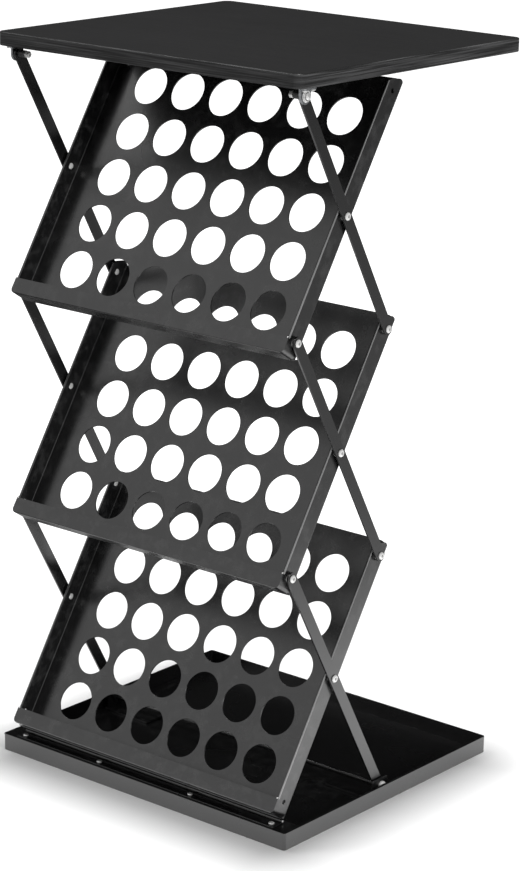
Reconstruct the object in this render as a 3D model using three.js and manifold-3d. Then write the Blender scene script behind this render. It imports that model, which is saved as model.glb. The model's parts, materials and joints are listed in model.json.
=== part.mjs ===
import * as THREE from "three";
import { mergeVertices } from "three/addons/utils/BufferGeometryUtils.js";
import Module from "manifold-3d";

const wasm = await Module();
wasm.setup();

// Sizes in millimetres, X to the right, Y to the rear, Z up.
const SHEET = 1.6;
const GAP = 0.3;

const BASE_WIDTH = 476;
const BASE_DEPTH = 420;
const BASE_HEIGHT = 22;
const BASE_CORNER = 4;
const BASE_HEM_HEIGHT = 8;
const BASE_LEDGE_DEPTH = 32;

const TOP_WIDTH = 478;
const TOP_DEPTH = 436;
const TOP_THICKNESS = 17;
const TOP_CORNER = 12;
const TOP_BAND = 2.4;
const TOP_FRONT_OVERHANG = 24;
const TOP_PIVOT_DROP = 10.8;
const TOP_TRAY_CLEARANCE = 3;

const TRAY_WIDTH = 439;
const TRAY_ARM = 162;
const TRAY_LEAN = 57.6;
const TRAY_TOP_MARGIN = 16.5;
const TRAY_BOTTOM_MARGIN = 18.5;
const TRAY_PIVOT_TO_BACK = 14.6;
const TRAY_PIVOT_TO_FRONT = 14;
const TRAY_BEND = 3;
const TRAY_FRONT_CORNER = 5;
const FLANGE_HEM = 8;
const LIP_HEIGHT = 20;

const HOLE_DIAMETER = 50;
const HOLE_COLUMNS = 6;
const HOLE_ROWS = 5;
const HOLE_PITCH_X = 62;
const HOLE_PITCH_Z = 63.5;

const LINK_ARM = 174;
const LINK_WIDTH = 20;
const LINK_THICKNESS = 2.5;
const LINK_FOOT_EXTRA = 25;
const SHOULDER_LENGTH = 2;
const SHOULDER_DIAMETER = 12;

const RIVET_SHANK = 5.6;
const RIVET_HEAD = 11;
const RIVET_HEAD_HEIGHT = 2.4;
const RIVET_TAIL = 9;
const RIVET_TAIL_HEIGHT = 1.2;

const LEAF_THICKNESS = 1.5;
const LEAF_WIDTH = 19;
const KNUCKLE_DIAMETER = 5.8;
const KNUCKLE_COUNT = 17;
const PIN_DIAMETER = 3;
const PIN_SETBACK = 22.3;
const PIN_BEHIND_TRAY = 1.6;
const HINGE_END_MARGIN = 3;
const PIN_END = 1;
const LEAF_SCREW_INSET = 8.5;
const LEAF_INNER_SCREW_SHARE = 0.37;
const LEAF_SCREW_END = 3;

const ROD_DIAMETER = 7;
const CAP_DIAMETER = 13;
const CAP_HEIGHT = 5.2;
const CATCH_THICKNESS = 2.5;
const CATCH_RISE = 11;
const CATCH_FRONT_REACH = 17;
const CATCH_REAR_REACH = 14;
const CATCH_FRONT_CHAMFER = 5;
const CATCH_REAR_CHAMFER = 3;
const CATCH_PLATE_WIDTH = 74;
const CATCH_PLATE_DEPTH = 70;
const CATCH_SCREW_INSET = 12;
const CATCH_SCREW_PITCH = 40;
const CATCH_SCREW_SETBACK = 20;

const BRACKET_THICKNESS = 2.5;
const BRACKET_RADIUS = 9.8;
const BRACKET_LEG_WIDTH = 8.2;
const BRACKET_LEG_MARGIN = 1;
const BRACKET_SCREW_SHARE = 0.78;
const BOLT_DIAMETER = 6;
const BOLT_HEAD = 12.5;
const BOLT_HEAD_HEIGHT = 3.6;
const BOLT_HEAD_CROWN = 3;
const BOLT_HEAD_SHOULDER = 1.6;
const BOLT_END = 1;
const WASHER_DIAMETER = 14.4;
const WASHER_THICKNESS = 1.5;
const SLEEVE_LENGTH = 11;
const SLEEVE_DIAMETER = 9;
const NUT_LENGTH = 5;
const NUT_ACROSS_CORNERS = 8.8;

const SCREW_DIAMETER = 4;
const SCREW_HEAD = 7.6;
const SCREW_HEAD_HEIGHT = 1.8;
const BOARD_SCREW_DEPTH = 12;

// Positions worked out from the sizes above.
const lean = THREE.MathUtils.degToRad(TRAY_LEAN);
const reach = TRAY_ARM * Math.cos(lean);
const linkLean = Math.acos(reach / LINK_ARM);
const trayTilt = lean - Math.PI / 2;
const linkTilt = Math.PI / 2 - linkLean;
const levelRise = TRAY_ARM * Math.sin(lean) + LINK_ARM * Math.sin(linkLean);

const trayTop = TRAY_ARM + TRAY_TOP_MARGIN;
const trayBottom = -TRAY_ARM - TRAY_BOTTOM_MARGIN;
const flangeOuter = TRAY_WIDTH / 2;
const flangeInner = flangeOuter - SHEET;
const linkInner = flangeOuter + GAP + SHOULDER_LENGTH + GAP;
const linkOuter = linkInner + LINK_THICKNESS;
const knuckleRadius = KNUCKLE_DIAMETER / 2;

const pinY = -BASE_DEPTH / 2 + PIN_SETBACK;
const pinZ = BASE_HEIGHT + GAP + knuckleRadius;
const pinLocalY = TRAY_PIVOT_TO_BACK + PIN_BEHIND_TRAY;
const pinLocalZ = trayBottom - GAP - knuckleRadius;
const midY = pinY - pinLocalY * Math.cos(trayTilt) + pinLocalZ * Math.sin(trayTilt);
const lowerMidZ = pinZ - pinLocalY * Math.sin(trayTilt) - pinLocalZ * Math.cos(trayTilt);
const midHeights = [0, 1, 2].map((level) => lowerMidZ + level * levelRise);

const footArm = LINK_ARM + LINK_FOOT_EXTRA;
const footY = midY + footArm * Math.cos(linkLean);
const footZ = lowerMidZ - footArm * Math.sin(linkLean);
const topPivotY = midY - reach;
const topPivotZ = midHeights[2] + LINK_ARM * Math.sin(linkLean);
// The board hangs clear of the pivot below it and of the upper tray's top front corner.
const upperTrayTop = midHeights[2] - TRAY_PIVOT_TO_FRONT * Math.sin(trayTilt) + trayTop * Math.cos(trayTilt);
const boardUnder = Math.max(topPivotZ + TOP_PIVOT_DROP, upperTrayTop + TOP_TRAY_CLEARANCE);
const boardTop = boardUnder + TOP_THICKNESS;
const boardCentreY = topPivotY - TOP_FRONT_OVERHANG + TOP_DEPTH / 2;

// The hinge is as long as the narrower of the two pieces that it joins, less a margin at each end.
const hingeLength = Math.min(TRAY_WIDTH, BASE_WIDTH) - 2 * HINGE_END_MARGIN;
const outerScrewX = hingeLength / 2 - LEAF_SCREW_INSET;
const innerScrewX = outerScrewX * LEAF_INNER_SCREW_SHARE;
const leafScrewY = pinY - LEAF_WIDTH * 0.58;

// A closed solid from a geometry, turned outward when its faces point inward.
function solidOf(geometry) {
  const bare = geometry.clone();
  bare.deleteAttribute("normal");
  bare.deleteAttribute("uv");
  const merged = mergeVertices(bare, 1e-4);
  const place = merged.attributes.position;
  const corner = merged.index.array;
  const a = new THREE.Vector3();
  const b = new THREE.Vector3();
  const c = new THREE.Vector3();
  const faces = [];
  let volume = 0;
  for (let i = 0; i < corner.length; i += 3) {
    const [p, q, r] = [corner[i], corner[i + 1], corner[i + 2]];
    if (p === q || q === r || p === r) continue;
    faces.push(p, q, r);
    a.fromBufferAttribute(place, p);
    b.fromBufferAttribute(place, q);
    c.fromBufferAttribute(place, r);
    volume += a.dot(b.cross(c));
  }
  if (volume < 0) faces.reverse();
  const mesh = new wasm.Mesh({
    numProp: 3,
    vertProperties: new Float32Array(place.array),
    triVerts: new Uint32Array(faces),
  });
  return new wasm.Manifold(mesh);
}

function geometryOf(solid) {
  const mesh = solid.getMesh();
  const geometry = new THREE.BufferGeometry();
  geometry.setAttribute("position", new THREE.Float32BufferAttribute(mesh.vertProperties, 3));
  geometry.setIndex(Array.from(mesh.triVerts));
  geometry.computeVertexNormals();
  return geometry;
}

function joined(geometries) {
  return geometries.map(solidOf).reduce((sum, next) => sum.add(next));
}

function shaped(added, removed) {
  const body = joined(added);
  return geometryOf(removed.length ? body.subtract(joined(removed)) : body);
}

function mirrored(geometry) {
  return geometry.clone().scale(-1, 1, 1);
}

function bothSides(geometries) {
  return geometries.concat(geometries.map(mirrored));
}

// Prisms drawn in one plane and pushed along the axis in the name.
function alongX(shape, x0, x1, curveSegments = 6) {
  const geometry = new THREE.ExtrudeGeometry(shape, { depth: x1 - x0, bevelEnabled: false, curveSegments });
  const turn = new THREE.Matrix4().makeBasis(
    new THREE.Vector3(0, 1, 0),
    new THREE.Vector3(0, 0, 1),
    new THREE.Vector3(1, 0, 0),
  );
  return geometry.applyMatrix4(turn).translate(x0, 0, 0);
}

function alongZ(shape, z0, z1, curveSegments = 6) {
  const geometry = new THREE.ExtrudeGeometry(shape, { depth: z1 - z0, bevelEnabled: false, curveSegments });
  return geometry.translate(0, 0, z0);
}

function block(x0, x1, y0, y1, z0, z1) {
  const geometry = new THREE.BoxGeometry(x1 - x0, y1 - y0, z1 - z0);
  return geometry.translate((x0 + x1) / 2, (y0 + y1) / 2, (z0 + z1) / 2);
}

function rodX(radius, x0, x1, y, z, segments = 12) {
  const geometry = new THREE.CylinderGeometry(radius, radius, x1 - x0, segments);
  return geometry.rotateZ(-Math.PI / 2).translate((x0 + x1) / 2, y, z);
}

function rodY(radius, y0, y1, x, z, segments = 18) {
  const geometry = new THREE.CylinderGeometry(radius, radius, y1 - y0, segments);
  return geometry.translate(x, (y0 + y1) / 2, z);
}

function rodZ(radius, z0, z1, x, y, segments = 16) {
  const geometry = new THREE.CylinderGeometry(radius, radius, z1 - z0, segments);
  return geometry.rotateX(Math.PI / 2).translate(x, y, (z0 + z1) / 2);
}

// Turned pieces: the profile lists [radius, distance along the axis].
function turnedX(profile, y, z, segments = 12) {
  const points = profile.map(([radius, along]) => new THREE.Vector2(radius, along));
  return new THREE.LatheGeometry(points, segments).rotateZ(-Math.PI / 2).translate(0, y, z);
}

function turnedZ(profile, x, y, segments = 12) {
  const points = profile.map(([radius, along]) => new THREE.Vector2(radius, along));
  return new THREE.LatheGeometry(points, segments).rotateX(Math.PI / 2).translate(x, y, 0);
}

function tubeX(outer, inner, x0, x1, y, z, segments = 12) {
  const profile = [[inner, x0], [outer, x0], [outer, x1], [inner, x1], [inner, x0]];
  return turnedX(profile, y, z, segments);
}

function roundedRect(width, depth, radius, centreY = 0) {
  const x = width / 2;
  const y = depth / 2;
  const shape = new THREE.Shape();
  shape.absarc(x - radius, centreY + y - radius, radius, 0, Math.PI / 2);
  shape.absarc(-x + radius, centreY + y - radius, radius, Math.PI / 2, Math.PI);
  shape.absarc(-x + radius, centreY - y + radius, radius, Math.PI, 1.5 * Math.PI);
  shape.absarc(x - radius, centreY - y + radius, radius, 1.5 * Math.PI, 2 * Math.PI);
  shape.closePath();
  return shape;
}

// Fills the outside of a rounded edge that runs along X; the signs point at the solid.
function edgeRounder(y, z, radius, signY, signZ) {
  const out = 1;
  const points = [new THREE.Vector2(y - signY * out, z - signZ * out)];
  points.push(new THREE.Vector2(y + signY * radius, z - signZ * out));
  for (let step = 0; step <= 4; step += 1) {
    const angle = (step / 4) * (Math.PI / 2);
    const py = y + signY * radius * (1 - Math.sin(angle));
    const pz = z + signZ * radius * (1 - Math.cos(angle));
    points.push(new THREE.Vector2(py, pz));
  }
  points.push(new THREE.Vector2(y - signY * out, z + signZ * radius));
  return alongX(new THREE.Shape(points), -flangeOuter - 2, flangeOuter + 2);
}

function placeTray(geometry, level) {
  return geometry.clone().rotateX(trayTilt).translate(0, midY, midHeights[level]);
}

function placeLink(geometry, level) {
  return geometry.clone().rotateX(linkTilt).translate(0, midY, midHeights[level]);
}

// One perforated tray, standing upright about its middle pivot.
function trayBody() {
  const half = flangeOuter;
  const back = TRAY_PIVOT_TO_BACK;
  const front = -TRAY_PIVOT_TO_FRONT;
  const inside = TRAY_BEND - SHEET;
  const channel = new THREE.Shape();
  channel.moveTo(half - 2 * SHEET, front);
  channel.lineTo(half, front);
  channel.absarc(half - TRAY_BEND, back - TRAY_BEND, TRAY_BEND, 0, Math.PI / 2);
  channel.absarc(-half + TRAY_BEND, back - TRAY_BEND, TRAY_BEND, Math.PI / 2, Math.PI);
  channel.lineTo(-half, front);
  channel.lineTo(-half + 2 * SHEET, front);
  channel.lineTo(-half + 2 * SHEET, front + FLANGE_HEM);
  channel.lineTo(-half + SHEET, front + FLANGE_HEM);
  channel.absarc(-half + TRAY_BEND, back - TRAY_BEND, inside, Math.PI, Math.PI / 2, true);
  channel.absarc(half - TRAY_BEND, back - TRAY_BEND, inside, Math.PI / 2, 0, true);
  channel.lineTo(half - SHEET, front + FLANGE_HEM);
  channel.lineTo(half - 2 * SHEET, front + FLANGE_HEM);
  channel.closePath();

  const pocket = new THREE.Shape([
    new THREE.Vector2(back - SHEET / 2, trayBottom),
    new THREE.Vector2(back - SHEET / 2, trayBottom + SHEET),
    new THREE.Vector2(front + SHEET, trayBottom + SHEET),
    new THREE.Vector2(front + SHEET, trayBottom + LIP_HEIGHT),
    new THREE.Vector2(front, trayBottom + LIP_HEIGHT),
    new THREE.Vector2(front, trayBottom),
  ]);

  const removed = [];
  for (let row = 0; row < HOLE_ROWS; row += 1) {
    for (let column = 0; column < HOLE_COLUMNS; column += 1) {
      const x = (column - (HOLE_COLUMNS - 1) / 2) * HOLE_PITCH_X;
      const z = (row - (HOLE_ROWS - 1) / 2) * HOLE_PITCH_Z;
      removed.push(rodY(HOLE_DIAMETER / 2, back - SHEET - 1, back + 1, x, z));
    }
  }
  for (const z of [-TRAY_ARM, 0, TRAY_ARM]) {
    removed.push(rodX(RIVET_SHANK / 2 + GAP, -half - 1, half + 1, 0, z, 12));
  }
  removed.push(edgeRounder(front, trayTop, TRAY_FRONT_CORNER, 1, -1));
  removed.push(edgeRounder(front, trayBottom, TRAY_BEND, 1, 1));
  removed.push(edgeRounder(back, trayBottom, TRAY_BEND, -1, 1));
  const added = [
    alongZ(channel, trayBottom, trayTop, 4),
    alongX(pocket, -half + SHEET / 2, half - SHEET / 2),
  ];
  return { added, removed };
}

// A shoulder rivet on the right side: its collar keeps the link off the tray flange.
function rivet(z) {
  const tail = flangeInner - GAP;
  const head = linkOuter + GAP;
  const collarStart = flangeOuter + GAP;
  const collarEnd = linkInner - GAP;
  const profile = [
    [0, tail - RIVET_TAIL_HEIGHT],
    [RIVET_TAIL / 2, tail - RIVET_TAIL_HEIGHT],
    [RIVET_TAIL / 2, tail],
    [RIVET_SHANK / 2, tail],
    [RIVET_SHANK / 2, collarStart],
    [SHOULDER_DIAMETER / 2, collarStart],
    [SHOULDER_DIAMETER / 2, collarEnd],
    [RIVET_SHANK / 2, collarEnd],
    [RIVET_SHANK / 2, head],
    [RIVET_HEAD / 2, head],
    [RIVET_HEAD * 0.45, head + RIVET_HEAD_HEIGHT * 0.5],
    [RIVET_HEAD * 0.27, head + RIVET_HEAD_HEIGHT * 0.9],
    [0, head + RIVET_HEAD_HEIGHT],
  ];
  return turnedX(profile, 0, z, 10);
}

// One flat bar link on the right side, upright about its middle pivot.
function linkBody(lowerArm, upperHole, lowerHole) {
  const half = LINK_WIDTH / 2;
  const shape = new THREE.Shape();
  shape.absarc(0, LINK_ARM, half, 0, Math.PI);
  shape.absarc(0, -lowerArm, half, Math.PI, 2 * Math.PI);
  shape.closePath();
  const removed = [
    rodX(upperHole / 2 + GAP, linkInner - 1, linkOuter + 1, 0, LINK_ARM),
    rodX(RIVET_SHANK / 2 + GAP, linkInner - 1, linkOuter + 1, 0, 0),
    rodX(lowerHole / 2 + GAP, linkInner - 1, linkOuter + 1, 0, -lowerArm),
  ];
  return shaped([alongX(shape, linkInner, linkOuter, 8)], removed);
}

function screwDown(x, y, seat, tip) {
  const profile = [
    [0, tip],
    [SCREW_DIAMETER / 2, tip],
    [SCREW_DIAMETER / 2, seat + GAP],
    [SCREW_HEAD / 2, seat + GAP],
    [SCREW_HEAD * 0.42, seat + GAP + SCREW_HEAD_HEIGHT * 0.6],
    [0, seat + GAP + SCREW_HEAD_HEIGHT],
  ];
  return turnedZ(profile, x, y);
}

// Continuous hinge: each leaf carries every other knuckle and clears the rest.
function hingeLeaf(plate, y, z, firstKnuckle, holes) {
  const pitch = hingeLength / KNUCKLE_COUNT;
  const added = [plate];
  const removed = [rodX(PIN_DIAMETER / 2 + GAP, -hingeLength, hingeLength, y, z, 10)];
  for (let knuckle = 0; knuckle < KNUCKLE_COUNT; knuckle += 1) {
    const x0 = -hingeLength / 2 + knuckle * pitch;
    const own = knuckle % 2 === firstKnuckle;
    if (own) added.push(rodX(knuckleRadius, x0 + GAP / 2, x0 + pitch - GAP / 2, y, z, 10));
    else removed.push(rodX(knuckleRadius + GAP, x0 - GAP / 2, x0 + pitch + GAP / 2, y, z, 10));
  }
  return shaped(added, removed.concat(holes));
}

const black = new THREE.MeshStandardMaterial({ color: 0x2b2b2d, roughness: 0.45, metalness: 0.2 });
const laminate = new THREE.MeshStandardMaterial({ color: 0x222224, roughness: 0.5, metalness: 0 });
const banding = new THREE.MeshStandardMaterial({ color: 0x303032, roughness: 0.4, metalness: 0 });
const bright = new THREE.MeshStandardMaterial({ color: 0xd6d6d4, roughness: 0.3, metalness: 0.9 });
const zinc = new THREE.MeshStandardMaterial({ color: 0xa6a8aa, roughness: 0.42, metalness: 0.85 });
const nylon = new THREE.MeshStandardMaterial({ color: 0x1c1c1d, roughness: 0.55, metalness: 0 });

const rack = new THREE.Group();
rack.name = "display_rack";

function addPart(name, geometry, material) {
  const mesh = new THREE.Mesh(geometry, material);
  mesh.name = name;
  rack.add(mesh);
}

// The same piece on both sides, under the name with right and left added.
function addPair(name, geometry, material) {
  addPart(name + "_right", geometryOf(solidOf(geometry)), material);
  addPart(name + "_left", geometryOf(solidOf(mirrored(geometry))), material);
}

// Base: an open pan with a hemmed rim and a front ledge for the hinge.
const leafSeat = BASE_HEIGHT + GAP;
const leafTop = leafSeat + LEAF_THICKNESS;
const ledgeUnder = BASE_HEIGHT - SHEET;
const screwHole = SCREW_DIAMETER / 2 + GAP;
const ledgeScrewHoles = bothSides([innerScrewX, outerScrewX].map((x) => {
  return rodZ(screwHole, ledgeUnder - 1, leafTop + 1, x, leafScrewY, 12);
}));
const insideWidth = BASE_WIDTH - 2 * SHEET;
const insideDepth = BASE_DEPTH - 2 * SHEET;
const hemWidth = insideWidth - 2 * SHEET;
const hemDepth = insideDepth - 2 * SHEET;
const plateY = footY + CATCH_PLATE_DEPTH / 2 - LINK_WIDTH;
const catchOuter = linkOuter + GAP + CATCH_THICKNESS;
const plateInner = catchOuter - CATCH_PLATE_WIDTH;
const plateSeat = SHEET + GAP;
const plateTop = plateSeat + CATCH_THICKNESS;
const plateScrews = [
  [plateInner + CATCH_SCREW_INSET, plateY + CATCH_SCREW_SETBACK],
  [plateInner + CATCH_SCREW_INSET + CATCH_SCREW_PITCH, plateY + CATCH_SCREW_SETBACK],
];
const floorHoles = plateScrews.map(([x, y]) => {
  return rodZ(screwHole, -1, plateTop + 1, x, y, 12);
});
const panOutside = solidOf(alongZ(roundedRect(BASE_WIDTH, BASE_DEPTH, BASE_CORNER), 0, BASE_HEIGHT, 4));
const hemFoot = BASE_HEIGHT - BASE_HEM_HEIGHT;
const panInside = joined([
  alongZ(roundedRect(insideWidth, insideDepth, BASE_CORNER - SHEET), SHEET, hemFoot, 4),
  alongZ(roundedRect(hemWidth, hemDepth, 1), hemFoot - 0.5, BASE_HEIGHT + 1, 4),
]);
const ledge = solidOf(block(
  -insideWidth / 2 - SHEET / 2,
  insideWidth / 2 + SHEET / 2,
  -insideDepth / 2 - SHEET / 2,
  -BASE_DEPTH / 2 + BASE_LEDGE_DEPTH,
  ledgeUnder,
  BASE_HEIGHT,
));
const panDrill = joined(ledgeScrewHoles.concat(bothSides(floorHoles)));
addPart("base_pan", geometryOf(panOutside.subtract(panInside).add(ledge).subtract(panDrill)), black);

const fixedPlate = block(
  -hingeLength / 2,
  hingeLength / 2,
  pinY - LEAF_WIDTH,
  pinY,
  leafSeat,
  leafTop,
);
addPart("base_hinge_leaf", hingeLeaf(fixedPlate, pinY, pinZ, 0, ledgeScrewHoles), black);
const pinEnd = hingeLength / 2 + PIN_END;
addPart("hinge_pin", geometryOf(solidOf(rodX(PIN_DIAMETER / 2, -pinEnd, pinEnd, pinY, pinZ, 12))), bright);
const leafScrewTip = ledgeUnder - LEAF_SCREW_END;
addPair("hinge_screw_inner", screwDown(innerScrewX, leafScrewY, leafTop, leafScrewTip), bright);
addPair("hinge_screw_outer", screwDown(outerScrewX, leafScrewY, leafTop, leafScrewTip), bright);

// Catches on the pan floor: the foot rod rests in a slot that is open to the rear.
function catchBody() {
  const slot = ROD_DIAMETER / 2 + 2 * GAP;
  const frontEdge = footY - CATCH_FRONT_REACH;
  const rearEdge = footY + CATCH_REAR_REACH;
  const crest = footZ + CATCH_RISE;
  const ear = new THREE.Shape();
  ear.moveTo(frontEdge, plateSeat);
  ear.lineTo(rearEdge, plateSeat);
  ear.lineTo(rearEdge, footZ - slot - GAP);
  ear.lineTo(footY, footZ - slot);
  ear.absarc(footY, footZ, slot, 1.5 * Math.PI, Math.PI / 2, true);
  ear.lineTo(rearEdge, footZ + slot + 4 * GAP);
  ear.lineTo(rearEdge, crest - CATCH_REAR_CHAMFER);
  ear.lineTo(rearEdge - CATCH_REAR_CHAMFER, crest);
  ear.lineTo(frontEdge + CATCH_FRONT_CHAMFER, crest);
  ear.lineTo(frontEdge, crest - CATCH_FRONT_CHAMFER);
  ear.closePath();
  const plateFront = plateY - CATCH_PLATE_DEPTH / 2;
  const plateRear = plateY + CATCH_PLATE_DEPTH / 2;
  const plate = block(plateInner, catchOuter, plateFront, plateRear, plateSeat, plateTop);
  return shaped([alongX(ear, catchOuter - CATCH_THICKNESS, catchOuter), plate], floorHoles);
}
addPair("foot_catch", catchBody(), black);
const [catchScrewInner, catchScrewOuter] = plateScrews.map(([x, y]) => {
  return screwDown(x, y, plateTop, GAP);
});
addPair("foot_catch_screw_inner", catchScrewInner, bright);
addPair("foot_catch_screw_outer", catchScrewOuter, bright);

// Three equal trays, riveted to the links at the pivots that each one uses.
const trayNames = ["lower_tray", "middle_tray", "upper_tray"];
const pivotHeights = { bottom: -TRAY_ARM, mid: 0, top: TRAY_ARM };
const usedPivots = [["mid", "top"], ["bottom", "mid", "top"], ["bottom", "mid"]];
const { added: trayAdded, removed: trayRemoved } = trayBody();
const trayGeometry = shaped(trayAdded, trayRemoved);
trayNames.forEach((name, level) => {
  addPart(name, placeTray(trayGeometry, level), black);
  for (const pivot of usedPivots[level]) {
    addPair(name + "_rivet_" + pivot, placeTray(rivet(pivotHeights[pivot]), level), bright);
  }
});

const movingTop = trayBottom - GAP;
const movingPlate = block(
  -hingeLength / 2,
  hingeLength / 2,
  pinLocalY - LEAF_WIDTH,
  pinLocalY,
  movingTop - LEAF_THICKNESS,
  movingTop,
);
const movingLeaf = hingeLeaf(movingPlate, pinLocalY, pinLocalZ, 1, []);
addPart("tray_hinge_leaf", placeTray(movingLeaf, 0), black);

// Flat bar links outside the tray flanges, the lowest pair with a longer foot.
const lowerLink = linkBody(footArm, RIVET_SHANK, ROD_DIAMETER);
const middleLink = linkBody(LINK_ARM, RIVET_SHANK, RIVET_SHANK);
const upperLink = linkBody(LINK_ARM, BOLT_DIAMETER, RIVET_SHANK);
const links = [["lower_link", lowerLink], ["middle_link", middleLink], ["upper_link", upperLink]];
links.forEach(([name, geometry], level) => addPair(name, placeLink(geometry, level), black));

const capStart = catchOuter + GAP;
const capBore = capStart + CAP_HEIGHT * 0.55;
const rodEnd = capBore - GAP;
addPart("foot_rod", geometryOf(solidOf(rodX(ROD_DIAMETER / 2, -rodEnd, rodEnd, footY, footZ))), black);
const capProfile = [
  [0, capBore],
  [ROD_DIAMETER / 2 + GAP / 2, capBore],
  [ROD_DIAMETER / 2 + GAP / 2, capStart],
  [CAP_DIAMETER / 2, capStart],
  [CAP_DIAMETER / 2, capStart + CAP_HEIGHT * 0.3],
  [CAP_DIAMETER * 0.4, capStart + CAP_HEIGHT * 0.75],
  [CAP_DIAMETER * 0.2, capStart + CAP_HEIGHT * 0.96],
  [0, capStart + CAP_HEIGHT],
];
addPair("foot_rod_cap", turnedX(capProfile, footY, footZ, 16), bright);

// Tabletop: a board in an edge band, hung on two bracket ears at the front.
const boardWidth = TOP_WIDTH - 2 * TOP_BAND;
const boardDepth = TOP_DEPTH - 2 * TOP_BAND;
const boardCorner = TOP_CORNER - TOP_BAND;
const bandOutline = roundedRect(TOP_WIDTH, TOP_DEPTH, TOP_CORNER, boardCentreY);
const bandOpening = roundedRect(boardWidth, boardDepth, boardCorner, boardCentreY);
const bandOutside = alongZ(bandOutline, boardUnder, boardTop);
const bandInside = alongZ(bandOpening, boardUnder - 1, boardTop + 1);
const legSeat = boardUnder - GAP;
const earInner = linkOuter + GAP;
const earOuter = earInner + BRACKET_THICKNESS;
const legOuter = earOuter + BRACKET_LEG_WIDTH;
const legScrewX = (earOuter + legOuter) / 2;
const legScrewReach = BRACKET_RADIUS * BRACKET_SCREW_SHARE;
const legScrews = [-legScrewReach, legScrewReach].map((y) => [legScrewX, topPivotY + y]);
const boardHoles = legScrews.map(([x, y]) => {
  return rodZ(screwHole, legSeat - BRACKET_THICKNESS - 1, boardUnder + BOARD_SCREW_DEPTH, x, y, 12);
});
const boardShape = roundedRect(boardWidth - 2 * GAP, boardDepth - 2 * GAP, boardCorner - GAP, boardCentreY);
const boardBlank = alongZ(boardShape, boardUnder, boardTop);
addPart("tabletop_board", shaped([boardBlank], bothSides(boardHoles)), laminate);
addPart("tabletop_edge_band", shaped([bandOutside], [bandInside]), banding);

function topBracket() {
  const ear = new THREE.Shape();
  ear.moveTo(topPivotY + BRACKET_RADIUS, legSeat);
  ear.lineTo(topPivotY - BRACKET_RADIUS, legSeat);
  ear.absarc(topPivotY, topPivotZ, BRACKET_RADIUS, Math.PI, 2 * Math.PI);
  ear.closePath();
  const legFront = topPivotY - BRACKET_RADIUS - BRACKET_LEG_MARGIN;
  const legRear = topPivotY + BRACKET_RADIUS + BRACKET_LEG_MARGIN;
  const leg = block(earInner, legOuter, legFront, legRear, legSeat - BRACKET_THICKNESS, legSeat);
  const boltHole = rodX(BOLT_DIAMETER / 2 + GAP, earInner - 1, earOuter + 1, topPivotY, topPivotZ);
  return shaped([alongX(ear, earInner, earOuter, 10), leg], boardHoles.concat([boltHole]));
}
addPair("top_bracket", topBracket(), zinc);

function legScrew([x, y]) {
  const seat = legSeat - BRACKET_THICKNESS - GAP;
  const tip = boardUnder + BOARD_SCREW_DEPTH - 2;
  const profile = [
    [0, seat - SCREW_HEAD_HEIGHT],
    [SCREW_HEAD * 0.36, seat - SCREW_HEAD_HEIGHT],
    [SCREW_HEAD * 0.42, seat],
    [SCREW_DIAMETER / 2, seat],
    [SCREW_DIAMETER / 2, tip],
    [0, tip + 1],
  ];
  return turnedZ(profile, x, y);
}
addPair("top_bracket_screw_front", legScrew(legScrews[0]), bright);
addPair("top_bracket_screw_rear", legScrew(legScrews[1]), bright);

const washerStart = earOuter + GAP;
const headStart = washerStart + WASHER_THICKNESS + GAP;
const sleeveEnd = linkInner - GAP;
const sleeveStart = sleeveEnd - SLEEVE_LENGTH;
const nutEnd = sleeveStart - GAP;
const nutStart = nutEnd - NUT_LENGTH;
const boltProfile = [
  [0, nutStart - BOLT_END],
  [BOLT_DIAMETER / 2, nutStart - BOLT_END],
  [BOLT_DIAMETER / 2, headStart],
  [BOLT_HEAD / 2, headStart],
  [BOLT_HEAD * 0.47, headStart + BOLT_HEAD_SHOULDER],
  [BOLT_HEAD * 0.32, headStart + BOLT_HEAD_CROWN],
  [0, headStart + BOLT_HEAD_HEIGHT],
];
const boltBore = BOLT_DIAMETER / 2 + GAP / 2;
addPair("top_pivot_bolt", turnedX(boltProfile, topPivotY, topPivotZ, 16), bright);
const washer = tubeX(WASHER_DIAMETER / 2, boltBore, washerStart, headStart - GAP, topPivotY, topPivotZ, 16);
addPair("top_pivot_washer", washer, bright);
const sleeve = tubeX(SLEEVE_DIAMETER / 2, boltBore, sleeveStart, sleeveEnd, topPivotY, topPivotZ, 14);
addPair("top_pivot_sleeve", sleeve, nylon);
const nut = shaped(
  [rodX(NUT_ACROSS_CORNERS / 2, nutStart, nutEnd, topPivotY, topPivotZ, 6)],
  [rodX(boltBore, nutStart - 1, nutEnd + 1, topPivotY, topPivotZ, 12)],
);
addPair("top_pivot_nut", nut, bright);

export default rack;
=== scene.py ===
import json
import math
from contextlib import contextmanager

import bmesh
import bpy
from bpy.props import FloatProperty, FloatVectorProperty, IntProperty, PointerProperty
from mathutils import Matrix, Vector


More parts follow.
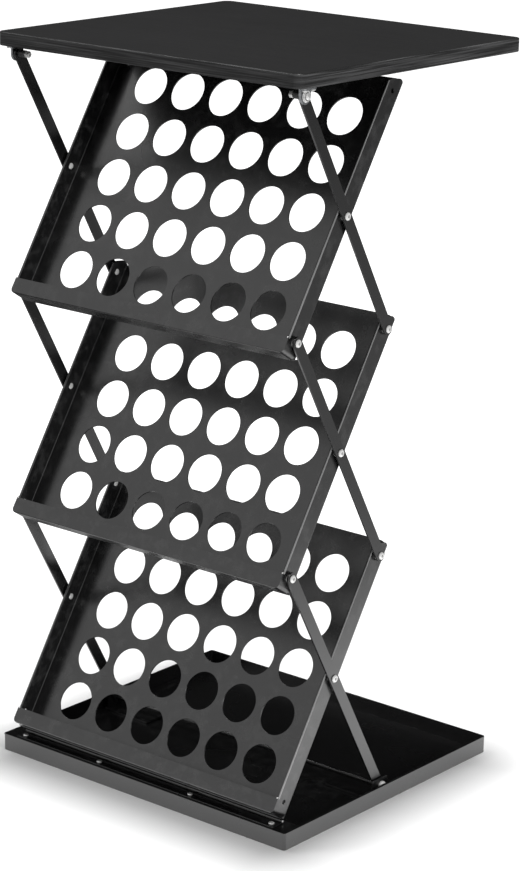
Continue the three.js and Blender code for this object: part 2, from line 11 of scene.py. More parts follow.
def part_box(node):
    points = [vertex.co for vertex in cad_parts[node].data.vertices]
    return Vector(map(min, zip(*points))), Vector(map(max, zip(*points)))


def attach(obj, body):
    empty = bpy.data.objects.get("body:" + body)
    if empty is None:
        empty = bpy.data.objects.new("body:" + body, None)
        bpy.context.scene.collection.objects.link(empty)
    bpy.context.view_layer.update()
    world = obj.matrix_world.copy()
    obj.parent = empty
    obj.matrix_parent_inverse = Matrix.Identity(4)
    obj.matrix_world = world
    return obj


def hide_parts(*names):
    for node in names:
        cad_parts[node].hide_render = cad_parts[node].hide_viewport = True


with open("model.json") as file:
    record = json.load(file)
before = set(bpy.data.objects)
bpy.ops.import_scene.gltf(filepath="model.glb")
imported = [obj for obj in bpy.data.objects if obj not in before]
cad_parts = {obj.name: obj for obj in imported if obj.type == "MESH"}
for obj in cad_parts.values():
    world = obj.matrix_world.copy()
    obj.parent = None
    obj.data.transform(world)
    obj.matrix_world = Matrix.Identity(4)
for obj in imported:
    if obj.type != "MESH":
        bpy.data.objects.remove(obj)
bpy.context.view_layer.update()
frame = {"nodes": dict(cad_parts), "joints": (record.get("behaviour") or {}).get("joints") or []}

bl_info = {
    "name": "Folding Periodical Rack",
    "version": (1, 0, 0),
    "blender": (4, 5, 0),
    "location": "3D View > Sidebar > Rack",
    "description": "Models and finishes a folding rack with perforated trays around its frame",
    "category": "Add Mesh",
}

TRAYS = ("lower_tray", "middle_tray", "upper_tray")
LINKS = ("lower_link", "middle_link", "upper_link")
SIDES = ("right", "left")
QUARTER = math.pi / 2
FULL_TURN = 2 * math.pi
PAINTED_HIGHLIGHT_EDGE = "rolled_highlight"
SMOOTH_SHEET = math.radians(20)
SMOOTH_TURNED = math.radians(35)
CURL = math.radians(305)

# How far cutters stand past the faces that they cut, and the bores that the screws and bolts need.
PAST = 0.001
REACH = 0.01
SCREW_HOLE = 0.0046
PILOT_DEPTH = 0.012
BOLT = 0.006
BOLT_BORE = 0.0063
BRACKET_BORE = 0.0066

# Reflections see the floor as dark in this direction from the rack.
LEFT_REAR = (-0.95, 0.3, 0.0)
DARK_FLOOR = (0.02, 0.02, 0.02, 1.0)
FLOOR_GAP = 0.0002
WHITE = (1, 1, 1, 1)


# Places and sizes read from the frame.

def joint_place(name):
    return Vector(next(j["pos_m"] for j in frame["joints"] if j["name"] == name))


MID_PIVOT = {
    "lower_tray": joint_place("lower_links_pivot"),
    "middle_tray": joint_place("middle_links_pivot"),
    "upper_tray": joint_place("upper_links_pivot"),
}
PIN_PLACE = joint_place("fold")
TOP_PIVOT = joint_place("tabletop_pivot")
LOWER_FRONT_PIVOT = joint_place("middle_tray_pivot")

tray_run = MID_PIVOT["middle_tray"] - LOWER_FRONT_PIVOT
link_run = LOWER_FRONT_PIVOT - MID_PIVOT["lower_tray"]
TRAY_ARM = tray_run.length
LINK_ARM = link_run.length
TRAY_TILT = math.atan2(tray_run.z, tray_run.y) - QUARTER
LINK_TILT = math.atan2(-link_run.y, link_run.z)


def tray_place(tray):
    return Matrix.Translation(MID_PIVOT[tray]) @ Matrix.Rotation(TRAY_TILT, 4, "X")


def link_place(link):
    tray = TRAYS[LINKS.index(link)]
    return Matrix.Translation(MID_PIVOT[tray]) @ Matrix.Rotation(LINK_TILT, 4, "X")


def local_box(node, place):
    """Lowest and highest corner of a frame node, measured in the axes of a place."""
    back = place.inverted()
    points = [back @ v.co for v in frame["nodes"][node].data.vertices]
    low = Vector(min(p[i] for p in points) for i in range(3))
    high = Vector(max(p[i] for p in points) for i in range(3))
    return low, high


def box_middle(node):
    low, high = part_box(node)
    return (low + high) / 2


TRAY_LOW, TRAY_HIGH = local_box("lower_tray", tray_place("lower_tray"))
LINK_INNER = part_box("lower_link_right")[0].x
LINK_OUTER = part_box("lower_link_right")[1].x
LINK_WIDTH = 2 * local_box("middle_link_right", link_place("middle_link"))[1].y
FOOT_ARM = -local_box("lower_link_right", link_place("lower_link"))[0].z - LINK_WIDTH / 2
BASE_LOW, BASE_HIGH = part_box("base_pan")
BAND_LOW, BAND_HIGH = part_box("tabletop_edge_band")
LEAF_LOW, LEAF_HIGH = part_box("base_hinge_leaf")
ROD_PLACE = box_middle("foot_rod")


def length(name, description, default):
    return FloatProperty(name=name, description=description, default=default, min=0.0, unit="LENGTH")


def colour(name, description, default):
    return FloatVectorProperty(name=name, description=description, default=default, size=3,
                               min=0.0, max=1.0, subtype="COLOR")


def share(name, description, default):
    return FloatProperty(name=name, description=description, default=default, min=0.0, max=1.0,
                         subtype="FACTOR")


class RackSheetSizes(bpy.types.PropertyGroup):
    """Sizes of the folded trays and of the base pan."""

    sheet: length("Sheet", "Thickness of the folded sheet", 0.0016)
    bend: length("Bend", "Outside radius of a fold", 0.003)
    hem: length("Hem", "Width of the strip that is folded back along a flange's front edge", 0.0078)
    hem_round: length("Hem rounding", "Radius along both front edges of a hem", 0.0015)
    lip_height: length("Lip", "Height of a tray's front lip", 0.020)
    lip_gap: length("Lip gap", "Air between the lip and the flanges behind it", 0.0001)
    floor_bend: length("Floor bend", "Outside radius of the folds between a floor and its flanges", 0.006)
    top_corner: length("Top corner", "Radius at the top front corner of a flange", 0.0025)
    rear_corner: length("Rear corner", "Radius at the top rear corner of a flange", 0.007)
    top_rise: length("Top rise", "Height that a panel's top edge stands above the solid's", 0.005)
    top_slant: length("Top slant", "Drop of a flange's top edge from the panel to the front", 0.0115)
    hole: length("Perforation", "Diameter of the round perforations", 0.050)
    pitch_x: length("Pitch across", "Distance of the perforations from left to right", 0.062)
    pitch_z: length("Pitch along", "Distance of the perforations along the panel", 0.0635)
    columns: IntProperty(name="Columns", description="Perforations from left to right", default=6, min=1)
    rows: IntProperty(name="Rows", description="Perforations along the panel", default=5, min=1)
    pivot_hole: length("Pivot hole", "Diameter of the pivot holes in the flanges", 0.0062)
    # Painted glints: bright weld beads at the ends of a lip.
    glint_bead: length("Corner weld", "Diameter of the weld beads at the ends of a lip", 0.0022)
    rim_hem: length("Rim hem", "Height of the folded rim of the base pan", 0.008)
    ledge: length("Ledge", "Depth of the ledge that carries the hinge", 0.032)
    base_corner: length("Base corner", "Radius of the base pan's upright corners", 0.004)
    edge: length("Edge", "Softening of a painted sheet's edges", 0.00035)
    pan_edge: length("Pan edge", "Softening of the base pan's edges", 0.0009)


class RackBarSizes(bpy.types.PropertyGroup):
    """Sizes of the links, the rivets and the pivot hardware."""

    link: length("Link", "Width of a link's flat bar", 0.0155)
    rivet_head: length("Rivet head", "Diameter of a rivet's domed head", 0.0098)
    rivet_dome: length("Rivet dome", "Height of a rivet's domed head", 0.0024)
    rivet_dimple: length("Rivet dimple", "Diameter of the hollow in a rivet's head", 0.0042)
    rivet_shank: length("Rivet shank", "Diameter of a rivet's shank", 0.0056)
    rivet_tail: length("Rivet tail", "Diameter of a rivet's tail inside the flange", 0.008)
    rivet_tail_height: length("Tail height", "Height of a rivet's tail", 0.0012)
    collar: length("Collar", "Diameter of the collar that keeps a link off its flange", 0.012)
    gap: length("Gap", "Running gap between pivot pieces", 0.0003)
    edge: length("Bar edge", "Softening of a bar's edges", 0.0005)
    bracket: length("Bracket", "Thickness of the tabletop brackets and the foot catches", 0.0025)
    leg_corner: length("Leg corner", "Radius at the corners of a tabletop bracket's leg", 0.003)
    bracket_edge: length("Bracket edge", "Softening of the brackets' and catches' edges", 0.0004)
    catch_front: length("Catch front", "Reach of a foot catch in front of the rod", 0.017)
    catch_rear: length("Catch rear", "Reach of a foot catch behind the rod", 0.014)
    catch_corner: length("Catch corner", "Radius at the top corners of a foot catch", 0.004)
    cap_rim: length("Cap rim", "Straight part of a rod cap below its dome", 0.0016)
    screw_recess: length("Screw recess", "Width of the cross recess in a screw's head", 0.0008)
    hinge_sheet: length("Hinge sheet", "Thickness of the hinge's leaves", 0.0013)
    hinge_edge: length("Hinge edge", "Softening of the hinge leaves' edges", 0.0002)
    knuckles: IntProperty(name="Knuckles", description="Knuckles along the hinge", default=17, min=3)


class RackTopSizes(bpy.types.PropertyGroup):
    """Sizes of the tabletop."""

    corner: length("Corner", "Radius of the tabletop's upright corners", 0.012)
    band: length("Band", "Thickness of the edge band", 0.0024)
    band_edge: length("Band edge", "Rounding of the band's upper and lower edges", 0.0011)
    board_edge: length("Board edge", "Rounding of the board's own edges", 0.0003)
    gap: length("Band gap", "Air between the board and its band", 0.0003)


class RackFinish(bpy.types.PropertyGroup):
    """Colours and gloss of the finishes."""

    coat: colour("Powder coat", "Colour of the satin coat on the sheet", (0.0040, 0.0040, 0.0042))
    coat_gloss: share("Coat roughness", "Roughness of the satin coat", 0.25)
    # Painted highlight: a light colour on the outer rounding of each flange's front edge, in place of the
    # light that this edge catches.
    rolled_highlight: colour("Rolled edge", "Colour of the highlighted front edge of a flange", (0.36, 0.36, 0.36))
    laminate: colour("Laminate", "Colour of the tabletop's face", (0.0085, 0.0085, 0.0087))
    laminate_gloss: share("Laminate roughness", "Roughness of the tabletop's face", 0.50)
    band: colour("Edge band", "Colour of the tabletop's edge band", (0.018, 0.018, 0.0183))
    band_gloss: share("Band roughness", "Roughness of the edge band", 0.32)
    bright: colour("Bright steel", "Colour of rivets, caps and screws", (0.88, 0.88, 0.87))
    zinc: colour("Zinc", "Colour of the tabletop brackets", (0.36, 0.37, 0.38))
    nylon: colour("Nylon", "Colour of the pivot sleeves", (0.03, 0.03, 0.031))
    dust: colour("Dust", "Colour of the dust that settles on faces that look up", (0.22, 0.21, 0.20))


class RackStage(bpy.types.PropertyGroup):
    """Camera, floor and lamps."""

    azimuth: FloatProperty(name="Azimuth", description="Camera's turn round the rack", unit="ROTATION",
                           default=math.radians(39.356))
    elevation: FloatProperty(name="Elevation", description="Camera's height above the horizon",
                             unit="ROTATION", default=math.radians(16.191))
    roll: FloatProperty(name="Roll", description="Camera's turn about its own axis", unit="ROTATION",
                        default=math.radians(1.138))
    distance: length("Distance", "From the camera to the point it looks at", 3.542)
    target: FloatVectorProperty(name="Target", description="Point that the camera looks at", size=3,
                                default=(-0.0026, 0.0215, 0.4267), subtype="TRANSLATION", unit="LENGTH")
    lens: FloatProperty(name="Lens", description="Focal length in millimetres", default=114.2, min=1.0)
    floor: length("Floor", "Width of the floor", 14.0)
    floor_tone: colour("Floor tone", "Colour of the floor", (0.86, 0.86, 0.86))
    floor_dusk: colour("Floor dusk", "Colour of the floor far from the rack, in reflections and bounces",
                       (0.42, 0.42, 0.42))
    floor_glow: share("Floor glow", "White that the floor near the rack shows by itself", 0.03)
    floor_shine: share("Floor shine", "White that the floor near the rack shows in reflections", 0.90)
    shine_middle: FloatVectorProperty(name="Shine middle", description="Middle of the floor's bright patch",
                                      size=3, default=(0.35, -0.25, 0.0), subtype="TRANSLATION",
                                      unit="LENGTH")
    shine_far: length("Shine reach", "Distance from its middle at which the bright patch ends", 1.2)
    near: length("Near floor", "Distance from the rack within which the floor keeps its shadow", 0.50)
    far: length("Far floor", "Distance from the rack beyond which the floor is plain white", 1.4)
    ambient: share("Ambient", "Strength of the even light from all round", 0.08)
    gloom: share("Gloom", "Strength of the dark studio that shows in reflections", 0.02)


# Selecting and editing.

def activate(obj):
    if bpy.context.mode != "OBJECT":
        bpy.ops.object.mode_set(mode="OBJECT")
    bpy.ops.object.select_all(action="DESELECT")
    obj.select_set(True)
    bpy.context.view_layer.objects.active = obj


@contextmanager
def editing(obj):
    activate(obj)
    bpy.ops.object.mode_set(mode="EDIT")
    yield
    bpy.ops.object.mode_set(mode="OBJECT")


def middle(item):
    """The middle of a face or an edge, or the place of a vertex."""
    if isinstance(item, bmesh.types.BMVert):
        return item.co
    return sum((v.co for v in item.verts), Vector()) / len(item.verts)


def pick(obj, kind, test):
    """In edit mode, select just the vertices, edges or faces that pass a test."""
    bpy.ops.mesh.select_mode(type=kind)
    bpy.ops.mesh.select_all(action="DESELECT")
    mesh = bmesh.from_edit_mesh(obj.data)
    items = {"VERT": mesh.verts, "EDGE": mesh.edges, "FACE": mesh.faces}[kind]
    for item in items:
        if test(item):
            item.select_set(True)
    mesh.select_flush_mode()
    bmesh.update_edit_mesh(obj.data)


def near(value, target, slack=1e-5):
    return abs(value - target) < slack


def upright(edge):
    """Whether an edge of a block stands up."""
    return not near(edge.verts[0].co.z, edge.verts[1].co.z)


def push(x=0.0, y=0.0, z=0.0):
    """Extrude what is selected by a distance."""
    bpy.ops.mesh.extrude_region_move(TRANSFORM_OT_translate={"value": (x, y, z)})


def move(x=0.0, y=0.0, z=0.0):
    bpy.ops.transform.translate(value=(x, y, z))


def name_new(name):
    obj = bpy.context.object
    obj.name = name
    obj.data.name = name
    return obj


def fix_place(obj):
    """Put an object's place into its mesh."""
    activate(obj)
    bpy.ops.object.transform_apply(location=True, rotation=True, scale=True)


def outward(obj):
    """Merge doubled points and turn all faces outward."""
    with editing(obj):
        bpy.ops.mesh.select_all(action="SELECT")
        bpy.ops.mesh.remove_doubles(threshold=1e-6)
        bpy.ops.mesh.normals_make_consistent(inside=False)


def modify(obj, kind, **settings):
    """Add a modifier, set it and apply it."""
    activate(obj)
    bpy.ops.object.modifier_add(type=kind)
    modifier = obj.modifiers[-1]
    for key, value in settings.items():
        setattr(modifier, key, value)
    bpy.ops.object.modifier_apply(modifier=modifier.name)


def combine(obj, other, operation):
    """Cut away or join another solid, which is then removed."""
    modify(obj, "BOOLEAN", operation=operation, object=other, solver="EXACT")
    bpy.data.objects.remove(other, do_unlink=True)


def cut(obj, *others):
    for other in others:
        combine(obj, other, "DIFFERENCE")


def shade(obj):
    """Shade a piece smooth between its sharp edges, with its flat faces kept flat."""
    activate(obj)
    if obj.data.has_custom_normals:
        bpy.ops.mesh.customdata_custom_splitnormals_clear()
    bpy.ops.object.shade_smooth_by_angle(angle=SMOOTH_SHEET)
    modify(obj, "WEIGHTED_NORMAL", keep_sharp=True, weight=50)


def soften(obj, width, segments=2, angle=35):
    """Round the sharp edges and shade the piece smooth between them."""
    modify(obj, "BEVEL", width=width, segments=segments, limit_method="ANGLE",
           angle_limit=math.radians(angle), harden_normals=False, use_clamp_overlap=True)
    shade(obj)


def copy_piece(obj, name, place):
    """A copy with its own mesh, set down at a place."""
    activate(obj)
    bpy.ops.object.duplicate()
    twin = name_new(name)
    twin.matrix_world = place @ twin.matrix_world
    fix_place(twin)
    if place.determinant() < 0:
        outward(twin)
    if twin.data.has_custom_normals:
        shade(twin)
    return twin


def discard(obj):
    bpy.data.objects.remove(obj, do_unlink=True)


def side_place(side):
    """The right side as modelled, or its mirror image on the left."""
    return Matrix.Identity(4) if side == "right" else Matrix.Scale(-1, 4, Vector((1, 0, 0)))


# Starting shapes.

def block(name, low, high):
    low, high = Vector(low), Vector(high)
    bpy.ops.mesh.primitive_cube_add(size=1, location=(low + high) / 2, scale=high - low)
    obj = name_new(name)
    fix_place(obj)
    return obj


def bore(name, diameter, start, end, sides=48):
    """A round cutter from one point to another."""
    start, end = Vector(start), Vector(end)
    along = end - start
    turn = Vector((0, 0, 1)).rotation_difference(along).to_euler()
    bpy.ops.mesh.primitive_cylinder_add(vertices=sides, radius=diameter / 2, depth=along.length,
                                        location=(start + end) / 2, rotation=turn)
    obj = name_new(name)
    fix_place(obj)
    return obj


def screw_hole(at, low, high):
    """An upright cutter for a screw's hole."""
    return bore("hole", SCREW_HOLE, (at.x, at.y, low), (at.x, at.y, high), 24)


def bar(name, width, x0, x1, up, down, sides=64):
    """A flat bar with round ends: a disc whose halves are drawn apart, then thickened along X."""
    bpy.ops.mesh.primitive_circle_add(vertices=sides, radius=width / 2, fill_type="NGON")
    obj = name_new(name)
    half_step = Matrix.Rotation(math.pi / sides, 4, "X")
    obj.matrix_world = half_step @ Matrix.Rotation(QUARTER, 4, "Y")
    fix_place(obj)
    with editing(obj):
        pick(obj, "VERT", lambda v: v.co.z > 0)
        move(z=up)
        pick(obj, "VERT", lambda v: v.co.z < 0)
        move(z=-down)
        bpy.ops.mesh.select_all(action="SELECT")
        move(x=x0)
        push(x=x1 - x0)
    outward(obj)
    return obj


def turned(name, profile, place, axis="X", steps=40):
    """Spin a profile of (distance along the axis, radius) about an axis through a place."""
    along = Vector((1, 0, 0)) if axis == "X" else Vector((0, 0, 1))
    out = Vector((0, 0, 1)) if axis == "X" else Vector((1, 0, 0))
    points = [place + along * (distance - place.dot(along)) + out * radius for distance, radius in profile]
    bpy.ops.mesh.primitive_plane_add(size=REACH, location=points[0])
    obj = name_new(name)
    fix_place(obj)
    with editing(obj):
        bpy.ops.mesh.select_mode(type="VERT")
        bpy.ops.mesh.select_all(action="SELECT")
        bpy.ops.mesh.merge(type="CENTER")
        for here, there in zip(points, points[1:]):
            push(*(there - here))
        bpy.ops.mesh.select_all(action="SELECT")
        bpy.ops.mesh.spin(steps=steps, angle=FULL_TURN, center=place, axis=along)
    outward(obj)
    activate(obj)
    bpy.ops.object.shade_smooth_by_angle(angle=SMOOTH_TURNED)
    return obj


def dome(start, height, radius, steps=5, end_radius=0.0):
    """Profile points of a dome that rises from a flat start to its crown."""
    points = []
    for step in range(steps + 1):
        angle = QUARTER * step / steps
        points.append((start + height * math.sin(angle),
                       end_radius + (radius - end_radius) * math.cos(angle)))
    return points


def finish_name(slot):
    """The name of a slot's finish; the bare name belongs to the frame's own material."""
    return slot + "_finish"


def finish_piece(obj, body, slot, *nodes):
    """Give a piece its finish, its body and the frame nodes that it stands for."""
    obj.data.materials.clear()
    obj.data.materials.append(bpy.data.materials[finish_name(slot)])
    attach(obj, body)
    if nodes:
        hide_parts(*nodes)
    return obj


# Shader groups that the finishes share.

def new_group(name, inputs, outputs):
    group = bpy.data.node_groups.new(name, "ShaderNodeTree")
    for label, kind, default in inputs:
        socket = group.interface.new_socket(name=label, in_out="INPUT", socket_type=kind)
        socket.default_value = default
    for label, kind in outputs:
        group.interface.new_socket(name=label, in_out="OUTPUT", socket_type=kind)
    return group, group.nodes.new("NodeGroupInput"), group.nodes.new("NodeGroupOutput")


def add_node(tree, kind, values=None, **settings):
    node = tree.nodes.new(kind)
    for key, value in settings.items():
        setattr(node, key, value)
    for socket, value in (values or {}).items():
        node.inputs[socket].default_value = value
    return node


def noise(tree, vector, scale=1.0, detail=2.0, roughness=0.5):
    node = add_node(tree, "ShaderNodeTexNoise", {"Scale": scale, "Detail": detail, "Roughness": roughness})
    tree.links.new(vector, node.inputs["Vector"])
    return node


def ramp(tree, value, low, high, to_low=0.0, to_high=1.0):
    node = add_node(tree, "ShaderNodeMapRange", {"From Min": low, "From Max": high, "To Min": to_low,
                                                 "To Max": to_high}, clamp=True)
    tree.links.new(value, node.inputs["Value"])
    return node.outputs["Result"]


def multiply(tree, first, second):
    node = add_node(tree, "ShaderNodeMath", operation="MULTIPLY")
    tree.links.new(first, node.inputs[0])
    tree.links.new(second, node.inputs[1])
    return node.outputs["Value"]


def make_coat_texture():
    """Fine pebble of a sprayed coat, with broad cloudiness."""
    group, entry, leave = new_group(
        "Coat Texture",
        [("Vector", "NodeSocketVector", (0, 0, 0)), ("Grain", "NodeSocketFloat", 900.0),
         ("Cloud", "NodeSocketFloat", 7.0)],
        [("Height", "NodeSocketFloat"), ("Cloud", "NodeSocketFloat")])
    fine = noise(group, entry.outputs["Vector"])
    broad = noise(group, entry.outputs["Vector"], detail=4.0)
    group.links.new(entry.outputs["Grain"], fine.inputs["Scale"])
    group.links.new(entry.outputs["Cloud"], broad.inputs["Scale"])
    group.links.new(fine.outputs["Fac"], leave.inputs["Height"])
    group.links.new(ramp(group, broad.outputs["Fac"], 0.3, 0.7), leave.inputs["Cloud"])


def make_edge_wear_and_highlight():
    """Rubbed places along outer edges, broken up by noise; they also paint a highlight along the edges."""
    group, entry, leave = new_group(
        "Edge Wear And Highlight",
        [("Vector", "NodeSocketVector", (0, 0, 0)), ("Amount", "NodeSocketFloat", 0.5)],
        [("Mask", "NodeSocketFloat")])
    shape = add_node(group, "ShaderNodeNewGeometry")
    edge = ramp(group, shape.outputs["Pointiness"], 0.53, 0.60)
    patches = noise(group, entry.outputs["Vector"], 60.0, detail=5.0, roughness=0.65)
    wear_and_highlight_patches = ramp(group, patches.outputs["Fac"], 0.48, 0.62)
    mask = multiply(group, multiply(group, edge, wear_and_highlight_patches), entry.outputs["Amount"])
    group.links.new(mask, leave.inputs["Mask"])


def make_dust():
    """A thin film on faces that look up."""
    group, entry, leave = new_group(
        "Settled Dust",
        [("Vector", "NodeSocketVector", (0, 0, 0)), ("Amount", "NodeSocketFloat", 0.1)],
        [("Mask", "NodeSocketFloat")])
    shape = add_node(group, "ShaderNodeNewGeometry")
    parts = add_node(group, "ShaderNodeSeparateXYZ")
    group.links.new(shape.outputs["Normal"], parts.inputs[0])
    upward = ramp(group, parts.outputs["Z"], 0.55, 1.0)
    specks = noise(group, entry.outputs["Vector"], 220.0, detail=6.0, roughness=0.7)
    film = ramp(group, specks.outputs["Fac"], 0.42, 0.75)
    mask = multiply(group, multiply(group, upward, film), entry.outputs["Amount"])
    group.links.new(mask, leave.inputs["Mask"])


def make_hollow_shade():
    """Painted shade: darkens the hollows, where shade falls."""
    group, entry, leave = new_group(
        "Hollow Shade",
        [("Vector", "NodeSocketVector", (0, 0, 0)), ("Amount", "NodeSocketFloat", 0.8)],
        [("Mask", "NodeSocketFloat")])
    shape = add_node(group, "ShaderNodeNewGeometry")
    hollow = ramp(group, shape.outputs["Pointiness"], 0.485, 0.44)
    patches = noise(group, entry.outputs["Vector"], 700.0, detail=3.0)
    patchy = ramp(group, patches.outputs["Fac"], 0.2, 0.6, 0.6, 1.0)
    mask = multiply(group, multiply(group, hollow, patchy), entry.outputs["Amount"])
    group.links.new(mask, leave.inputs["Mask"])


def make_streaks():
    """Drawn-out lines, for brushed metal and extruded plastic."""
    group, entry, leave = new_group(
        "Drawn Streaks",
        [("Vector", "NodeSocketVector", (0, 0, 0)), ("Stretch", "NodeSocketVector", (4, 4, 400))],
        [("Lines", "NodeSocketFloat"), ("Mask", "NodeSocketFloat")])
    scaled = add_node(group, "ShaderNodeVectorMath", operation="MULTIPLY")
    group.links.new(entry.outputs["Vector"], scaled.inputs[0])
    group.links.new(entry.outputs["Stretch"], scaled.inputs[1])
    lines = noise(group, scaled.outputs["Vector"], detail=3.0, roughness=0.6)
    group.links.new(lines.outputs["Fac"], leave.inputs["Lines"])
    group.links.new(ramp(group, lines.outputs["Fac"], 0.42, 0.68), leave.inputs["Mask"])


class Finish:
    """A material under way: its node tree, its shader and object coordinates."""

    def __init__(self, name, base, roughness, metallic=0.0, specular=0.5):
        self.material = bpy.data.materials.new(finish_name(name))
        self.material.use_nodes = True
        self.tree = self.material.node_tree
        self.shader = self.tree.nodes["Principled BSDF"]
        self.shader.inputs["Base Color"].default_value = (*base, 1.0)
        self.shader.inputs["Roughness"].default_value = roughness
        self.shader.inputs["Metallic"].default_value = metallic
        self.shader.inputs["Specular IOR Level"].default_value = specular
        self.material.diffuse_color = (*base, 1.0)
        self.place = add_node(self.tree, "ShaderNodeTexCoord").outputs["Object"]
        self.colour = None
        self.base = base

    def group(self, name, **values):
        node = add_node(self.tree, "ShaderNodeGroup", node_tree=bpy.data.node_groups[name])
        self.tree.links.new(self.place, node.inputs["Vector"])
        for label, value in values.items():
            node.inputs[label].default_value = value
        return node

    def tint(self, mask, other):
        """Mix another colour over the base colour by a mask."""
        mix = add_node(self.tree, "ShaderNodeMix", data_type="RGBA")
        if self.colour is None:
            mix.inputs["A"].default_value = (*self.base, 1.0)
        else:
            self.tree.links.new(self.colour, mix.inputs["A"])
        mix.inputs["B"].default_value = (*other, 1.0)
        self.tree.links.new(mask, mix.inputs["Factor"])
        self.colour = mix.outputs["Result"]
        self.tree.links.new(self.colour, self.shader.inputs["Base Color"])

    def vary_roughness(self, value, low, high):
        self.tree.links.new(ramp(self.tree, value, 0.0, 1.0, low, high), self.shader.inputs["Roughness"])

    def bump(self, height, strength, distance):
        node = add_node(self.tree, "ShaderNodeBump", {"Strength": strength, "Distance": distance})
        self.tree.links.new(height, node.inputs["Height"])
        self.tree.links.new(node.outputs["Normal"], self.shader.inputs["Normal"])


def lighter(tone, by):
    return tuple(min(1.0, part * by) for part in tone)


def make_coat(finish):
    made = Finish("black_coat", finish.coat, finish.coat_gloss, specular=0.75)
    texture = made.group("Coat Texture", Grain=850.0, Cloud=6.0)
    made.tint(texture.outputs["Cloud"], lighter(finish.coat, 1.5))
    made.tint(made.group("Settled Dust", Amount=0.006).outputs["Mask"], finish.dust)
    # Lighter edges: rubbed paint, and a painted highlight along them.
    made.tint(made.group("Edge Wear And Highlight", Amount=0.10).outputs["Mask"], (0.20, 0.20, 0.20))
    # Painted highlight along the marked outer rounding of the flanges' front edges, varied by the
    # cloudiness.
    edge = add_node(made.tree, "ShaderNodeAttribute", attribute_name=PAINTED_HIGHLIGHT_EDGE)
    sheen = ramp(made.tree, texture.outputs["Cloud"], 0.0, 1.0, 0.7, 1.0)
    made.tint(multiply(made.tree, edge.outputs["Fac"], sheen), finish.rolled_highlight)
    made.vary_roughness(texture.outputs["Cloud"], finish.coat_gloss - 0.03, finish.coat_gloss + 0.05)
    made.bump(texture.outputs["Height"], 0.10, 0.0002)


def make_laminate(finish):
    made = Finish("board_laminate", finish.laminate, finish.laminate_gloss, specular=0.2)
    grain = made.group("Drawn Streaks", Stretch=(6.0, 190.0, 190.0))
    texture = made.group("Coat Texture", Grain=1400.0, Cloud=5.0)
    made.tint(grain.outputs["Mask"], lighter(finish.laminate, 1.15))
    made.tint(texture.outputs["Cloud"], lighter(finish.laminate, 1.25))
    made.tint(made.group("Settled Dust", Amount=0.012).outputs["Mask"], finish.dust)
    made.vary_roughness(grain.outputs["Lines"], finish.laminate_gloss - 0.06, finish.laminate_gloss + 0.08)
    made.bump(texture.outputs["Height"], 0.15, 0.0002)


def make_band(finish):
    made = Finish("edge_band", finish.band, finish.band_gloss, specular=0.3)
    streaks = made.group("Drawn Streaks", Stretch=(9.0, 9.0, 520.0))
    made.tint(streaks.outputs["Mask"], lighter(finish.band, 5.0))
    # Lighter edges: rubbed plastic, and a painted highlight along them.
    made.tint(made.group("Edge Wear And Highlight", Amount=0.35).outputs["Mask"], (0.25, 0.25, 0.25))
    made.vary_roughness(streaks.outputs["Lines"], finish.band_gloss - 0.14, finish.band_gloss + 0.20)
    made.bump(streaks.outputs["Lines"], 0.25, 0.0003)


def make_bright(name, roughness, tone, metallic):
    made = Finish(name, tone, roughness, metallic=metallic)
    lines = made.group("Drawn Streaks", Stretch=(500.0, 900.0, 900.0))
    made.tint(lines.outputs["Mask"], lighter(tone, 0.86))
    # Painted shade in the dimples and grooves of the bright parts.
    made.tint(made.group("Hollow Shade", Amount=0.8).outputs["Mask"], lighter(tone, 0.08))
    made.vary_roughness(lines.outputs["Lines"], roughness - 0.06, roughness + 0.10)
    made.bump(lines.outputs["Lines"], 0.05, 0.0001)


def make_zinc(finish):
    made = Finish("zinc_bracket", finish.zinc, 0.38, metallic=1.0)
    crystals = add_node(made.tree, "ShaderNodeTexVoronoi", {"Scale": 260.0})
    made.tree.links.new(made.place, crystals.inputs["Vector"])
    made.tint(crystals.outputs["Distance"], lighter(finish.zinc, 1.3))
    made.tint(made.group("Edge Wear And Highlight", Amount=0.4).outputs["Mask"], (0.8, 0.8, 0.8))
    made.vary_roughness(crystals.outputs["Distance"], 0.30, 0.48)
    made.bump(made.group("Coat Texture", Grain=1500.0, Cloud=20.0).outputs["Height"], 0.08, 0.0001)


def make_nylon(finish):
    made = Finish("nylon_sleeve", finish.nylon, 0.5)
    texture = made.group("Coat Texture", Grain=1800.0, Cloud=60.0)
    made.tint(texture.outputs["Cloud"], lighter(finish.nylon, 1.5))
    made.vary_roughness(texture.outputs["Cloud"], 0.42, 0.60)
    made.bump(texture.outputs["Height"], 0.12, 0.0001)


class RACK_OT_finishes(bpy.types.Operator):
    """Make the shared shader groups and the finishes of all the pieces"""

    bl_idname = "rack.finishes"
    bl_label = "Finishes"

    def execute(self, context):
        finish = context.scene.rack_finish
        make_coat_texture()
        make_edge_wear_and_highlight()
        make_dust()
        make_hollow_shade()
        make_streaks()
        make_coat(finish)
        make_laminate(finish)
        make_band(finish)
        make_bright("rivet_steel", 0.30, finish.bright, 0.15)
        make_bright("plated_fastener", 0.28, lighter(finish.bright, 0.93), 0.45)
        make_bright("rod_cap", 0.30, finish.bright, 0.1)
        make_zinc(finish)
        make_nylon(finish)
        return {"FINISHED"}


# Trays.

